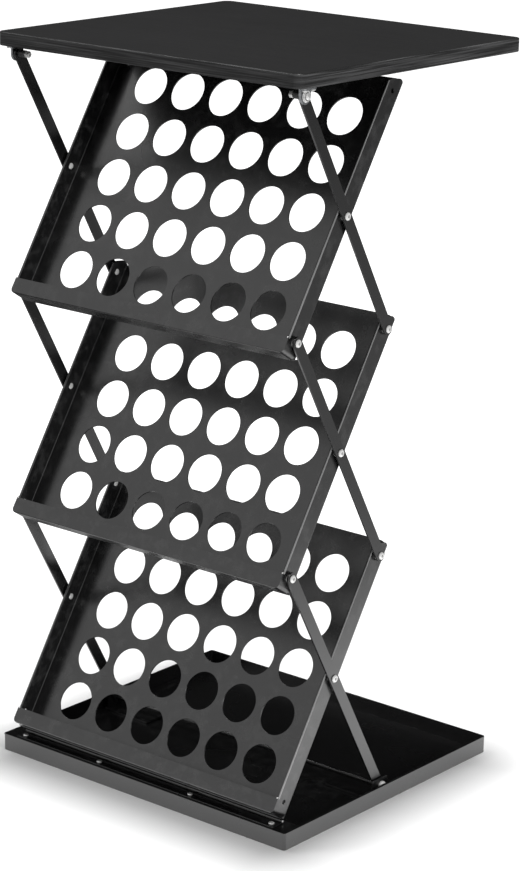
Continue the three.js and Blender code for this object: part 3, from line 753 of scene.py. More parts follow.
def tray_shell(size):
    """The folded sheet without thickness: panel, flanges, floor and lip."""
    step = size.sheet + size.lip_gap
    front = TRAY_LOW.y + step
    top = TRAY_HIGH.z + size.top_rise
    shell = block("tray", (TRAY_LOW.x, front, TRAY_LOW.z), (TRAY_HIGH.x, TRAY_HIGH.y, top))
    lip_top = TRAY_LOW.z + size.lip_height
    half = TRAY_HIGH.x

    def floor_side(e):
        deep = abs(e.verts[0].co.y - e.verts[1].co.y) > size.bend * 4
        return deep and near(abs(middle(e).x), half) and near(middle(e).z, TRAY_LOW.z)

    with editing(shell):
        pick(shell, "FACE", lambda f: f.normal.y < -0.5 or f.normal.z > 0.5)
        bpy.ops.mesh.delete(type="ONLY_FACE")
        pick(shell, "EDGE", lambda e: near(middle(e).y, front) and near(middle(e).z, top))
        bpy.ops.mesh.delete(type="EDGE")
        pick(shell, "EDGE", lambda e: len(e.link_faces) == 2 and not floor_side(e))
        bpy.ops.mesh.bevel(offset=size.bend, segments=5, affect="EDGES", clamp_overlap=True)
        pick(shell, "EDGE", lambda e: len(e.link_faces) == 2 and floor_side(e))
        bpy.ops.mesh.bevel(offset=size.floor_bend, segments=7, affect="EDGES", clamp_overlap=True)
        pick(shell, "VERT", lambda v: near(v.co.y, front) and near(v.co.z, top))
        move(z=-size.top_slant)
        bpy.ops.mesh.bevel(offset=size.top_corner, segments=6, affect="VERTICES")
        bpy.ops.mesh.select_all(action="SELECT")
        bpy.ops.mesh.bisect(plane_co=(0, 0, lip_top + size.lip_gap), plane_no=(0, 0, 1))
        bpy.ops.mesh.select_all(action="SELECT")
        bpy.ops.mesh.bisect(plane_co=(0, front + size.hem, 0), plane_no=(0, 1, 0))

        def floor_edge(e):
            wide = abs(e.verts[0].co.x - e.verts[1].co.x) > half
            return wide and near(middle(e).y, front) and near(middle(e).z, TRAY_LOW.z, 1e-4)
        pick(shell, "EDGE", floor_edge)
        push(y=-step)
        push(z=size.lip_height)
        for sign in (1, -1):
            pick(shell, "VERT", lambda v: near(v.co.y, TRAY_LOW.y) and v.co.x * sign > 0)
            move(x=sign * size.floor_bend)
    return shell


def lip_corner(size, sign):
    """Cutter that rounds one lower corner of the lip."""
    radius = size.floor_bend
    edge = sign * TRAY_HIGH.x
    inner = edge - sign * radius
    sides = sorted((inner, edge + sign * PAST))
    front = TRAY_LOW.y - PAST
    back = TRAY_LOW.y + size.sheet + size.lip_gap / 2
    height = TRAY_LOW.z + radius
    cutter = block("lip_corner", (sides[0], front, TRAY_LOW.z - PAST), (sides[1], back, height))
    cut(cutter, bore("round", 2 * radius, (inner, front - PAST, height), (inner, back + PAST, height), 48))
    return cutter


def rear_corner(size, sign):
    """Cutters that round the top corner of one flange, and of the panel beside it."""
    radius = size.rear_corner
    edge = sign * TRAY_HIGH.x
    reach = 2 * REACH
    lap = PAST / 2
    top = TRAY_HIGH.z + size.top_rise
    depth = TRAY_HIGH.y - size.bend - (TRAY_LOW.y + size.sheet + size.lip_gap)
    tilt = math.atan2(size.top_slant, depth)
    middle_y = TRAY_HIGH.y - radius
    middle_z = top + (size.bend - radius) * math.tan(tilt) - radius / math.cos(tilt)
    back = TRAY_HIGH.y + PAST

    sides = sorted((edge - sign * size.bend, edge + sign * PAST))
    flange = block("flange_corner", (sides[0], middle_y - radius * math.sin(tilt), middle_z),
                   (sides[1], back, top + PAST))
    cut(flange, bore("round", 2 * radius, (edge - reach, middle_y, middle_z),
                     (edge + reach, middle_y, middle_z), 64))

    drop = top - middle_z
    middle_x = edge - sign * (size.bend + drop)
    sides = sorted((middle_x, edge - sign * (size.bend - lap)))
    panel = block("panel_corner", (sides[0], TRAY_HIGH.y - size.bend, middle_z),
                  (sides[1], back, top + PAST))
    cut(panel, bore("round", 2 * drop, (middle_x, back - reach, middle_z),
                    (middle_x, back + reach, middle_z), 64))
    return [flange, panel]


def lip_fold(shell, size):
    """Round the fold between the floor and the lip."""
    with editing(shell):
        def fold(e):
            place = middle(e)
            wide = abs(e.verts[0].co.x - e.verts[1].co.x) > TRAY_HIGH.x
            return wide and near(place.y, TRAY_LOW.y) and near(place.z, TRAY_LOW.z)
        pick(shell, "EDGE", fold)
        bpy.ops.mesh.bevel(offset=size.bend, segments=5, affect="EDGES", clamp_overlap=True)


def flange_hems(tray, size):
    """Double the sheet along the front edges of the flanges, round them and mark the outer rounding, where
    the coat paints a highlight.
    """
    front = TRAY_LOW.y + size.sheet + size.lip_gap
    lip_top = TRAY_LOW.z + size.lip_height
    inside = TRAY_HIGH.x - size.sheet
    with editing(tray):
        for sign in (1, -1):
            def strip(f):
                place = middle(f)
                return (f.normal.x * sign < -0.9 and near(place.x * sign, inside, 1e-4)
                        and place.z > lip_top and place.y < front + size.hem)
            pick(tray, "FACE", strip)
            push(x=-sign * size.sheet)

        def front_edge(e):
            place = middle(e)
            tall = abs(e.verts[0].co.z - e.verts[1].co.z) > size.bend * 4
            at_side = near(abs(place.x), TRAY_HIGH.x, 1e-4) or near(abs(place.x), inside - size.sheet, 1e-4)
            return tall and at_side and near(place.y, front, 1e-4) and place.z > lip_top
        pick(tray, "EDGE", front_edge)
        bpy.ops.mesh.bevel(offset=size.hem_round, segments=5, affect="EDGES", clamp_overlap=False)
        mesh = bmesh.from_edit_mesh(tray.data)
        # Faces of the outer rounding get the mark for the coat's painted highlight.
        rolled_highlight = mesh.faces.layers.float.new(PAINTED_HIGHLIGHT_EDGE)
        for face in mesh.faces:
            outer = abs(middle(face).x) > TRAY_HIGH.x - size.hem_round
            face[rolled_highlight] = 1.0 if face.select and outer else 0.0
        bmesh.update_edit_mesh(tray.data)


def perforations(size):
    """Cutters for all the round perforations of one panel."""
    back = TRAY_HIGH.y
    first_x = -size.pitch_x * (size.columns - 1) / 2
    first_z = -size.pitch_z * (size.rows - 1) / 2
    cutter = bore("perforations", size.hole, (first_x, back - REACH, first_z),
                  (first_x, back + REACH, first_z), sides=72)
    modify(cutter, "ARRAY", count=size.columns, use_relative_offset=False, use_constant_offset=True,
           constant_offset_displace=(size.pitch_x, 0, 0))
    modify(cutter, "ARRAY", count=size.rows, use_relative_offset=False, use_constant_offset=True,
           constant_offset_displace=(0, 0, size.pitch_z))
    return cutter


def glint_weld_beads(size):
    """Small weld beads where the ends of the lip meet the flanges, left bright so that they give painted
    glints there.
    """
    radius = size.glint_bead / 2
    lip_top = TRAY_LOW.z + size.lip_height
    crown = dome(0.0, radius * 0.9, radius, steps=4)
    profile = [(-radius * 0.6, 0.0), (-radius * 0.6, radius)] + crown
    beads = []
    for sign in (1, -1):
        place = Vector((sign * (TRAY_HIGH.x - size.sheet), TRAY_LOW.y + radius * 0.3, lip_top))
        glint_bead = turned("glint_bead", profile, Vector(), axis="Z", steps=16)
        glint_bead.matrix_world = Matrix.Translation(place) @ Matrix.Rotation(QUARTER, 4, "X")
        fix_place(glint_bead)
        beads.append(glint_bead)
    activate(beads[0])
    beads[1].select_set(True)
    bpy.ops.object.join()
    return name_new("glint_weld_beads")


class RACK_OT_trays(bpy.types.Operator):
    """Model one perforated tray and set it down at each level"""

    bl_idname = "rack.trays"
    bl_label = "Trays"

    def execute(self, context):
        size = context.scene.rack_sheet
        tray = tray_shell(size)
        lip_fold(tray, size)
        modify(tray, "SOLIDIFY", thickness=size.sheet, offset=-1.0, use_even_offset=True)
        flange_hems(tray, size)
        cutters = [perforations(size)]
        reach = TRAY_HIGH.x + REACH
        for height in (-TRAY_ARM, 0.0, TRAY_ARM):
            cutters.append(bore("pivot", size.pivot_hole, (-reach, 0, height), (reach, 0, height), 32))
        cutters += [lip_corner(size, 1), lip_corner(size, -1)]
        cutters += rear_corner(size, 1) + rear_corner(size, -1)
        cut(tray, *cutters)
        soften(tray, size.edge, segments=2)
        # Bright weld beads at the lip ends, which stand for glints: painted highlights.
        beads = glint_weld_beads(size)
        for body in TRAYS:
            place = tray_place(body)
            finish_piece(copy_piece(tray, body + "_sheet", place), body, "black_coat", body)
            finish_piece(copy_piece(beads, body + "_glint_weld_beads", place), body, "rivet_steel")
        discard(tray)
        discard(beads)
        return {"FINISHED"}


# Links and rivets.

class RACK_OT_links(bpy.types.Operator):
    """Model the flat bar links on both sides of every level"""

    bl_idname = "rack.links"
    bl_label = "Links"

    def execute(self, context):
        size = context.scene.rack_bar
        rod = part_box("foot_rod")
        rod_hole = rod[1].y - rod[0].y + 2 * size.gap
        small = size.rivet_shank + 2 * size.gap
        bolt_hole = BOLT + 2 * size.gap
        for link in LINKS:
            lowest = link == LINKS[0]
            down = FOOT_ARM if lowest else LINK_ARM
            model = bar(link, size.link, LINK_INNER, LINK_OUTER, LINK_ARM, down)
            holes = ((LINK_ARM, bolt_hole if link == LINKS[2] else small), (0.0, small),
                     (-down, rod_hole if lowest else small))
            for height, diameter in holes:
                cut(model, bore("hole", diameter, (LINK_INNER - REACH, 0, height),
                                (LINK_OUTER + REACH, 0, height), 32))
            soften(model, size.edge, segments=2)
            body = link + "s"
            for side in SIDES:
                node = f"{link}_{side}"
                place = side_place(side) @ link_place(link)
                finish_piece(copy_piece(model, node + "_bar", place), body, "black_coat", node)
            discard(model)
        return {"FINISHED"}


def rivet_profile(size, sheet):
    """A shoulder rivet from its tail inside the flange to the dimple in its head."""
    tail = TRAY_HIGH.x - sheet - size.gap
    head = LINK_OUTER + size.gap
    collar_start = TRAY_HIGH.x + size.gap
    collar_end = LINK_INNER - size.gap
    shank = size.rivet_shank / 2
    dimple = size.rivet_dimple / 2
    rim = size.rivet_dome * 0.18
    crown = dome(head + rim, size.rivet_dome - rim, size.rivet_head / 2, steps=7, end_radius=dimple)
    tail_dome = dome(0.0, size.rivet_tail_height, size.rivet_tail / 2, steps=4)
    profile = [(tail - along, radius) for along, radius in reversed(tail_dome)]
    profile += [(tail, shank), (collar_start, shank), (collar_start, size.collar / 2),
                (collar_end, size.collar / 2), (collar_end, shank), (head, shank),
                (head, size.rivet_head / 2)]
    profile += crown
    floor = head + size.rivet_dome * 0.35
    profile += [(floor, dimple * 0.8), (floor - 0.0001, 0.0)]
    return profile


class RACK_OT_rivets(bpy.types.Operator):
    """Model one shoulder rivet and set it in every pivot that has one"""

    bl_idname = "rack.rivets"
    bl_label = "Rivets"

    def execute(self, context):
        size = context.scene.rack_bar
        heights = {"bottom": -TRAY_ARM, "mid": 0.0, "top": TRAY_ARM}
        sheet = context.scene.rack_sheet.sheet
        rivet = turned("rivet", rivet_profile(size, sheet), Vector(), steps=32)
        for node in sorted(frame["nodes"]):
            if "_rivet_" not in node:
                continue
            tray, rest = node.split("_rivet_")
            pivot, side = rest.split("_")
            at = Matrix.Translation((0, 0, heights[pivot]))
            place = side_place(side) @ tray_place(tray) @ at
            finish_piece(copy_piece(rivet, node + "_head", place), tray, "rivet_steel", node)
        discard(rivet)
        return {"FINISHED"}


# Base.

class RACK_OT_base(bpy.types.Operator):
    """Model the base pan with its folded rim and its front ledge"""

    bl_idname = "rack.base"
    bl_label = "Base pan"

    def execute(self, context):
        size = context.scene.rack_sheet
        pan = block("base_pan_sheet", BASE_LOW, BASE_HIGH)
        width = BASE_HIGH.x - BASE_LOW.x
        depth = BASE_HIGH.y - BASE_LOW.y
        wide, narrow = 2 * size.sheet, size.sheet
        with editing(pan):
            pick(pan, "EDGE", upright)
            bpy.ops.mesh.bevel(offset=size.base_corner, segments=6, affect="EDGES")
            pick(pan, "FACE", lambda f: f.normal.z > 0.9)
            bpy.ops.mesh.inset(thickness=wide, depth=0.0)
            push(z=-size.rim_hem)
            push()
            grow = ((width - 2 * narrow) / (width - 2 * wide), (depth - 2 * narrow) / (depth - 2 * wide), 1)
            bpy.ops.transform.resize(value=grow, center_override=(0, 0, 0))
            push(z=-(BASE_HIGH.z - BASE_LOW.z - size.rim_hem - size.sheet))
        outward(pan)
        ledge_low = (BASE_LOW.x + narrow / 2, BASE_LOW.y + narrow / 2, BASE_HIGH.z - size.sheet)
        ledge_high = (BASE_HIGH.x - narrow / 2, BASE_LOW.y + size.ledge, BASE_HIGH.z)
        combine(pan, block("ledge", ledge_low, ledge_high), "UNION")
        for node in ("hinge_screw_inner", "hinge_screw_outer", "foot_catch_screw_inner",
                     "foot_catch_screw_outer"):
            for side in SIDES:
                at = box_middle(f"{node}_{side}")
                low = BASE_LOW.z if "catch" in node else BASE_HIGH.z - 2 * size.sheet
                cut(pan, screw_hole(at, low - PAST, low + 6 * PAST))
        soften(pan, size.pan_edge, segments=3)
        finish_piece(pan, "base", "black_coat", "base_pan")
        return {"FINISHED"}


def hinge_leaf(size, parity):
    """A leaf whose every other tongue is curled round the pin; the pin is the X axis."""
    run = LEAF_HIGH.x - LEAF_LOW.x
    pitch = run / size.knuckles
    radius = PIN_PLACE.z - LEAF_LOW.z
    depth = PIN_PLACE.y - LEAF_LOW.y
    bpy.ops.mesh.primitive_plane_add(size=1, location=(0, -depth / 2, -radius))
    leaf = name_new("hinge_leaf")
    leaf.scale = (run, depth, 1)
    fix_place(leaf)

    def own(x):
        return int((x + run / 2) / pitch) % 2 == parity

    with editing(leaf):
        for knuckle in range(1, size.knuckles):
            for side in (-1, 1):
                bpy.ops.mesh.select_all(action="SELECT")
                x = -run / 2 + knuckle * pitch + side * size.gap / 2
                bpy.ops.mesh.bisect(plane_co=(x, 0, 0), plane_no=(1, 0, 0))

        def tongue(e):
            long = abs(e.verts[0].co.x - e.verts[1].co.x) > pitch / 2
            return long and near(middle(e).y, 0.0)

        pick(leaf, "EDGE", lambda e: tongue(e) and not own(middle(e).x))
        move(y=-radius - 2 * size.gap)
        pick(leaf, "EDGE", lambda e: tongue(e) and own(middle(e).x))
        bpy.ops.mesh.spin(steps=12, angle=-CURL, center=(0, 0, 0), axis=(1, 0, 0))
        bpy.ops.mesh.select_all(action="SELECT")
        bpy.ops.mesh.remove_doubles(threshold=1e-6)
        bpy.ops.mesh.normals_make_consistent(inside=False)
    lowest = min(leaf.data.polygons, key=lambda p: p.center.y)
    inward = -1.0 if lowest.normal.z < 0 else 1.0
    modify(leaf, "SOLIDIFY", thickness=size.hinge_sheet, offset=inward, use_even_offset=True)
    return leaf


def screw_profile(seat, tip, head, shank, height, up):
    """A pan head screw along Z, its head above the seat or below it."""
    sign = 1.0 if up else -1.0
    crown = dome(0.0, height * 0.7, head / 2, steps=6)
    points = [(tip, 0.0), (tip, shank / 2), (seat, shank / 2), (seat, head / 2)]
    points += [(seat + sign * (height * 0.3 + along), radius) for along, radius in crown]
    return points


def make_screw(node, body, slot, size, up):
    """A screw in the place of its node, with a cross recess in its head."""
    low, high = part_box(node)
    at = Vector(((low.x + high.x) / 2, (low.y + high.y) / 2, 0))
    head = high.x - low.x
    height = head * 0.26
    seat = high.z - height if up else low.z + height
    tip = low.z if up else high.z
    screw = turned(node + "_cross_head", screw_profile(seat, tip, head, head * 0.52, height, up), at,
                   axis="Z", steps=28)
    crown = high.z if up else low.z
    half, reach, deep = size.screw_recess / 2, head * 0.28, height * 0.55
    for x, y in ((half, reach), (reach, half)):
        low_corner = Vector((at.x - x, at.y - y, crown - deep))
        high_corner = Vector((at.x + x, at.y + y, crown + deep))
        cut(screw, block("recess", low_corner, high_corner))
    activate(screw)
    bpy.ops.object.shade_smooth_by_angle(angle=SMOOTH_TURNED)
    finish_piece(screw, body, slot, node)


class RACK_OT_hinge(bpy.types.Operator):
    """Model the continuous hinge: two leaves, the pin and the screws"""

    bl_idname = "rack.hinge"
    bl_label = "Hinge"

    def execute(self, context):
        size = context.scene.rack_bar
        fixed = hinge_leaf(size, 0)
        moving = hinge_leaf(size, 1)
        at_pin = Matrix.Translation(PIN_PLACE)
        fixed_piece = copy_piece(fixed, "base_hinge_leaf_curled", at_pin)
        for node in ("hinge_screw_inner", "hinge_screw_outer"):
            for side in SIDES:
                at = box_middle(f"{node}_{side}")
                cut(fixed_piece, screw_hole(at, LEAF_LOW.z - 2 * PAST, LEAF_LOW.z + 3 * PAST))
        upside = Matrix.Scale(-1, 4, Vector((0, 0, 1)))
        turn = Matrix.Rotation(TRAY_TILT, 4, "X")
        moving_piece = copy_piece(moving, "tray_hinge_leaf_curled", at_pin @ turn @ upside)
        for leaf in (fixed_piece, moving_piece):
            soften(leaf, size.hinge_edge, segments=1, angle=50)
        finish_piece(fixed_piece, "base", "black_coat", "base_hinge_leaf")
        finish_piece(moving_piece, "lower_tray", "black_coat", "tray_hinge_leaf")
        discard(fixed)
        discard(moving)
        low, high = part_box("hinge_pin")
        radius = (high.z - low.z) / 2
        ends = dome(high.x - radius * 0.5, radius * 0.5, radius, steps=4)
        starts = [(-along, r) for along, r in reversed(ends)]
        pin = turned("hinge_pin_domed", starts + ends, PIN_PLACE, steps=20)
        finish_piece(pin, "base", "plated_fastener", "hinge_pin")
        for node in sorted(frame["nodes"]):
            if node.startswith("hinge_screw"):
                make_screw(node, "base", "plated_fastener", size, True)
        return {"FINISHED"}


class RACK_OT_foot(bpy.types.Operator):
    """Model the foot rod, its caps, the catches and their screws"""

    bl_idname = "rack.foot"
    bl_label = "Foot rod and catches"

    def execute(self, context):
        size = context.scene.rack_bar
        low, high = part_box("foot_rod")
        radius = (high.z - low.z) / 2
        edge = radius * 0.2
        profile = [(-high.x, 0), (-high.x, radius - edge), (-high.x + edge, radius),
                   (high.x - edge, radius), (high.x, radius - edge), (high.x, 0)]
        rod = turned("foot_rod_bar", profile, ROD_PLACE, steps=32)
        finish_piece(rod, "lower_links", "black_coat", "foot_rod")
        self.caps(radius, size)
        self.catches(radius, size)
        for node in sorted(frame["nodes"]):
            if node.startswith("foot_catch_screw"):
                make_screw(node, "base", "black_coat", size, True)
        return {"FINISHED"}

    def caps(self, rod_radius, size):
        low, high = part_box("foot_rod_cap_right")
        radius = (high.z - low.z) / 2
        bore_radius = rod_radius + size.gap / 2
        bore_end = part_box("foot_rod")[1].x + size.gap
        crown = dome(low.x + size.cap_rim, high.x - low.x - size.cap_rim, radius, steps=8)
        profile = [(bore_end, 0), (bore_end, bore_radius), (low.x, bore_radius), (low.x, radius)] + crown
        cap = turned("cap", profile, Vector((0, ROD_PLACE.y, ROD_PLACE.z)), steps=40)
        for side in SIDES:
            node = f"foot_rod_cap_{side}"
            finish_piece(copy_piece(cap, node + "_dome", side_place(side)), "lower_links", "rod_cap", node)
        discard(cap)

    def catches(self, rod_radius, size):
        low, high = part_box("foot_catch_right")
        thick = size.bracket
        catch = block("catch", (low.x, low.y, low.z), (high.x, high.y, low.z + thick))
        ear = block("ear", (high.x - thick, ROD_PLACE.y - size.catch_front, low.z),
                    (high.x, ROD_PLACE.y + size.catch_rear, high.z))
        with editing(ear):
            def top_end(e):
                place = middle(e)
                return near(place.z, high.z) and not near(place.y, ROD_PLACE.y, size.catch_front / 2)
            pick(ear, "EDGE", top_end)
            bpy.ops.mesh.bevel(offset=size.catch_corner, segments=5, affect="EDGES")
        slot_width = 2 * (rod_radius + 2 * size.gap)
        slot = bar("slot", slot_width, high.x - REACH, high.x + REACH, 3 * REACH, 0.0, 48)
        at_rod = Matrix.Translation((0, ROD_PLACE.y, ROD_PLACE.z))
        slot.matrix_world = at_rod @ Matrix.Rotation(-QUARTER, 4, "X")
        fix_place(slot)
        cut(ear, slot)
        combine(catch, ear, "UNION")
        for node in ("foot_catch_screw_inner_right", "foot_catch_screw_outer_right"):
            at = box_middle(node)
            cut(catch, screw_hole(at, low.z - 2 * PAST, low.z + 6 * PAST))
        soften(catch, size.bracket_edge)
        for side in SIDES:
            node = f"foot_catch_{side}"
            finish_piece(copy_piece(catch, node + "_plate", side_place(side)), "base", "black_coat", node)
        discard(catch)


# Tabletop.

def rounded_slab(name, low, high, corner):
    slab = block(name, low, high)
    with editing(slab):
        pick(slab, "EDGE", upright)
        bpy.ops.mesh.bevel(offset=corner, segments=12, affect="EDGES")
    return slab


class RACK_OT_tabletop(bpy.types.Operator):
    """Model the tabletop board and its edge band"""

    bl_idname = "rack.tabletop"
    bl_label = "Tabletop"

    def execute(self, context):
        size = context.scene.rack_top
        inset = Vector((size.band, size.band, 0))
        slip = Vector((size.gap, size.gap, 0))
        board = rounded_slab("tabletop_board_face", BAND_LOW + inset + slip, BAND_HIGH - inset - slip,
                             size.corner - size.band)
        for node in sorted(frame["nodes"]):
            if node.startswith("top_bracket_screw"):
                at = box_middle(node)
                cut(board, screw_hole(at, BAND_LOW.z - 3 * PAST, BAND_LOW.z + PILOT_DEPTH))
        soften(board, size.board_edge)
        finish_piece(board, "tabletop", "board_laminate", "tabletop_board")
        band = rounded_slab("tabletop_edge_band_strip", BAND_LOW, BAND_HIGH, size.corner)
        beyond = Vector((0, 0, REACH))
        opening = rounded_slab("opening", BAND_LOW + inset - beyond, BAND_HIGH - inset + beyond,
                               size.corner - size.band)
        cut(band, opening)
        soften(band, size.band_edge, segments=4, angle=50)
        finish_piece(band, "tabletop", "edge_band", "tabletop_edge_band")
        return {"FINISHED"}


def pivot_bore(name, diameter, x0, x1, sides=32):
    """A cutter along the tabletop's pivot axis."""
    return bore(name, diameter, (x0, TOP_PIVOT.y, TOP_PIVOT.z), (x1, TOP_PIVOT.y, TOP_PIVOT.z), sides)


class RACK_OT_brackets(bpy.types.Operator):
    """Model the tabletop brackets with their bolts, washers, sleeves, nuts and screws"""

    bl_idname = "rack.brackets"
    bl_label = "Brackets and pivot bolts"

    def execute(self, context):
        size = context.scene.rack_bar
        pieces = {
            "top_bracket": (self.bracket(size), "zinc_bracket"),
            "top_pivot_bolt": (self.bolt(), "plated_fastener"),
            "top_pivot_washer": (self.ring("top_pivot_washer_right", edge=0.0004), "plated_fastener"),
            "top_pivot_sleeve": (self.ring("top_pivot_sleeve_right", edge=0.0005), "nylon_sleeve"),
            "top_pivot_nut": (self.nut(), "plated_fastener"),
        }
        for name, (model, slot) in pieces.items():
            for side in SIDES:
                node = f"{name}_{side}"
                finish_piece(copy_piece(model, node + "_made", side_place(side)), "tabletop", slot, node)
            discard(model)
        for node in sorted(frame["nodes"]):
            if node.startswith("top_bracket_screw"):
                make_screw(node, "tabletop", "plated_fastener", size, False)
        return {"FINISHED"}

    def bracket(self, size):
        low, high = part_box("top_bracket_right")
        radius = TOP_PIVOT.z - low.z
        ear = bar("bracket", 2 * radius, low.x, low.x + size.bracket, high.z - TOP_PIVOT.z, 0.0, 64)
        ear.matrix_world = Matrix.Translation((0, TOP_PIVOT.y, TOP_PIVOT.z))
        fix_place(ear)
        crest = block("crest", (low.x - REACH, low.y - REACH, high.z),
                      (high.x, high.y + REACH, high.z + 4 * REACH))
        cut(ear, crest)
        leg = block("leg", (low.x, low.y, high.z - size.bracket), high)
        with editing(leg):
            def upright_end(e):
                place = middle(e)
                return near(place.x, high.x) and near(place.z, high.z - size.bracket / 2)
            pick(leg, "EDGE", upright_end)
            bpy.ops.mesh.bevel(offset=size.leg_corner, segments=5, affect="EDGES")
        combine(ear, leg, "UNION")
        cut(ear, pivot_bore("hole", BRACKET_BORE, low.x - REACH, high.x))
        for node in ("top_bracket_screw_front_right", "top_bracket_screw_rear_right"):
            at = box_middle(node)
            cut(ear, screw_hole(at, high.z - 6 * PAST, high.z + 3 * PAST))
        soften(ear, size.bracket_edge)
        return ear

    def bolt(self):
        low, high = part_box("top_pivot_bolt_right")
        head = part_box("top_pivot_washer_right")[1].x + 0.0003
        radius = (high.z - low.z) / 2
        shank = BOLT / 2
        point, edge = 0.0006, 0.0003
        rim, groove_floor, shoulder = head + 0.0009, head + 0.0002, head + 0.0012
        groove, button = radius * 0.78, radius * 0.66
        dent_rim, dent_floor, dent = 0.0012, 0.0009, high.x - 0.0006
        profile = [(low.x, 0), (low.x, shank - 0.0005), (low.x + point, shank), (head, shank)]
        profile += [(head, radius), (rim - edge, radius), (rim, radius - edge)]
        profile += [(rim, groove + edge), (rim - edge, groove)]
        profile += [(groove_floor, groove), (groove_floor, button)]
        profile += dome(shoulder, high.x - shoulder, button, steps=7, end_radius=dent_rim)
        profile += [(dent, dent_floor), (dent, 0.0)]
        return turned("bolt", profile, TOP_PIVOT, steps=36)

    def ring(self, node, edge):
        low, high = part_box(node)
        radius = (high.z - low.z) / 2
        inner = BOLT_BORE / 2
        profile = [(low.x, inner), (low.x, radius - edge), (low.x + edge, radius), (high.x - edge, radius),
                   (high.x, radius - edge), (high.x, inner), (low.x, inner)]
        return turned(node + "_ring", profile, TOP_PIVOT, steps=36)

    def nut(self):
        low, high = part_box("top_pivot_nut_right")
        nut = pivot_bore("nut", high.z - low.z, low.x, high.x, sides=6)
        cut(nut, pivot_bore("thread", BOLT_BORE, low.x - REACH, high.x + REACH))
        soften(nut, 0.0005, segments=3)
        return nut


# Stage.

def ray_share(tree, *names):
    """One for the named kinds of rays, and none for others."""
    path = add_node(tree, "ShaderNodeLightPath")
    total = path.outputs[names[0]]
    for name in names[1:]:
        either = add_node(tree, "ShaderNodeMath", operation="MAXIMUM")
        tree.links.new(total, either.inputs[0])
        tree.links.new(path.outputs[name], either.inputs[1])
        total = either.outputs[0]
    return total


def stage_floor(size):
    """A white floor that keeps the shadow near the rack and is plain white further out."""
    bpy.ops.mesh.primitive_plane_add(size=size.floor, location=(0, 0, BASE_LOW.z - FLOOR_GAP))
    floor = name_new("studio_floor")
    made = bpy.data.materials.new("studio_floor")
    made.use_nodes = True
    made.cycles.emission_sampling = "NONE"
    tree = made.node_tree
    shader = tree.nodes["Principled BSDF"]
    shader.inputs["Roughness"].default_value = 0.9
    shader.inputs["Specular IOR Level"].default_value = 0.0
    place = add_node(tree, "ShaderNodeTexCoord").outputs["Object"]
    reach = add_node(tree, "ShaderNodeVectorMath", operation="LENGTH")
    tree.links.new(place, reach.inputs[0])
    distance = reach.outputs["Value"]
    tone = add_node(tree, "ShaderNodeMix", data_type="RGBA")
    tone.inputs["A"].default_value = (*size.floor_tone, 1.0)
    tone.inputs["B"].default_value = (*size.floor_dusk, 1.0)
    tree.links.new(ramp(tree, distance, size.near, size.far), tone.inputs["Factor"])
    mirrored = ray_share(tree, "Is Glossy Ray", "Is Transmission Ray")
    behind = add_node(tree, "ShaderNodeVectorMath", operation="DOT_PRODUCT")
    tree.links.new(place, behind.inputs[0])
    behind.inputs[1].default_value = LEFT_REAR
    dim = add_node(tree, "ShaderNodeMix", {"B": DARK_FLOOR}, data_type="RGBA")
    gloom = ramp(tree, behind.outputs["Value"], 0.2, 0.5, to_high=0.92)
    tree.links.new(multiply(tree, gloom, mirrored), dim.inputs["Factor"])
    tree.links.new(tone.outputs["Result"], dim.inputs["A"])
    tree.links.new(dim.outputs["Result"], shader.inputs["Base Color"])
    seen = multiply(tree, ramp(tree, distance, size.near, size.far, size.floor_glow, 1.0),
                    ray_share(tree, "Is Camera Ray"))
    patch = add_node(tree, "ShaderNodeVectorMath", operation="DISTANCE")
    tree.links.new(place, patch.inputs[0])
    patch.inputs[1].default_value = size.shine_middle
    shine = ramp(tree, patch.outputs["Value"], size.near, size.shine_far, size.floor_shine, 0.0)
    shown = multiply(tree, shine, mirrored)
    strength = add_node(tree, "ShaderNodeMath", operation="ADD")
    tree.links.new(seen, strength.inputs[0])
    tree.links.new(shown, strength.inputs[1])
    glow = add_node(tree, "ShaderNodeEmission")
    tree.links.new(strength.outputs[0], glow.inputs["Strength"])
    total = add_node(tree, "ShaderNodeAddShader")
    tree.links.new(shader.outputs[0], total.inputs[0])
    tree.links.new(glow.outputs[0], total.inputs[1])
    tree.links.new(total.outputs[0], tree.nodes["Material Output"].inputs["Surface"])
    floor.data.materials.append(made)


def stage_world(size):
    """White behind the rack, a dark studio in reflections and an even light for the rest."""
    world = bpy.data.worlds.new("studio")
    world.use_nodes = True
    world.cycles.sampling_method = "NONE"
    bpy.context.scene.world = world
    tree = world.node_tree
    light = tree.nodes["Background"]
    light.inputs["Color"].default_value = WHITE
    light.inputs["Strength"].default_value = size.ambient
    dark = add_node(tree, "ShaderNodeBackground", {"Color": WHITE})
    heading = add_node(tree, "ShaderNodeSeparateXYZ")
    tree.links.new(add_node(tree, "ShaderNodeTexCoord").outputs["Generated"], heading.inputs[0])
    fade = ramp(tree, heading.outputs["Y"], -0.50, -0.10, 1.0, size.gloom)
    tree.links.new(fade, dark.inputs["Strength"])
    white = add_node(tree, "ShaderNodeBackground", {"Color": WHITE, "Strength": 1.0})
    reflected = add_node(tree, "ShaderNodeMixShader")
    chosen = add_node(tree, "ShaderNodeMixShader")
    tree.links.new(ray_share(tree, "Is Glossy Ray", "Is Transmission Ray"), reflected.inputs[0])
    tree.links.new(light.outputs[0], reflected.inputs[1])
    tree.links.new(dark.outputs[0], reflected.inputs[2])
    tree.links.new(ray_share(tree, "Is Camera Ray"), chosen.inputs[0])
    tree.links.new(reflected.outputs[0], chosen.inputs[1])
    tree.links.new(white.outputs[0], chosen.inputs[2])
    tree.links.new(chosen.outputs[0], tree.nodes["World Output"].inputs["Surface"])


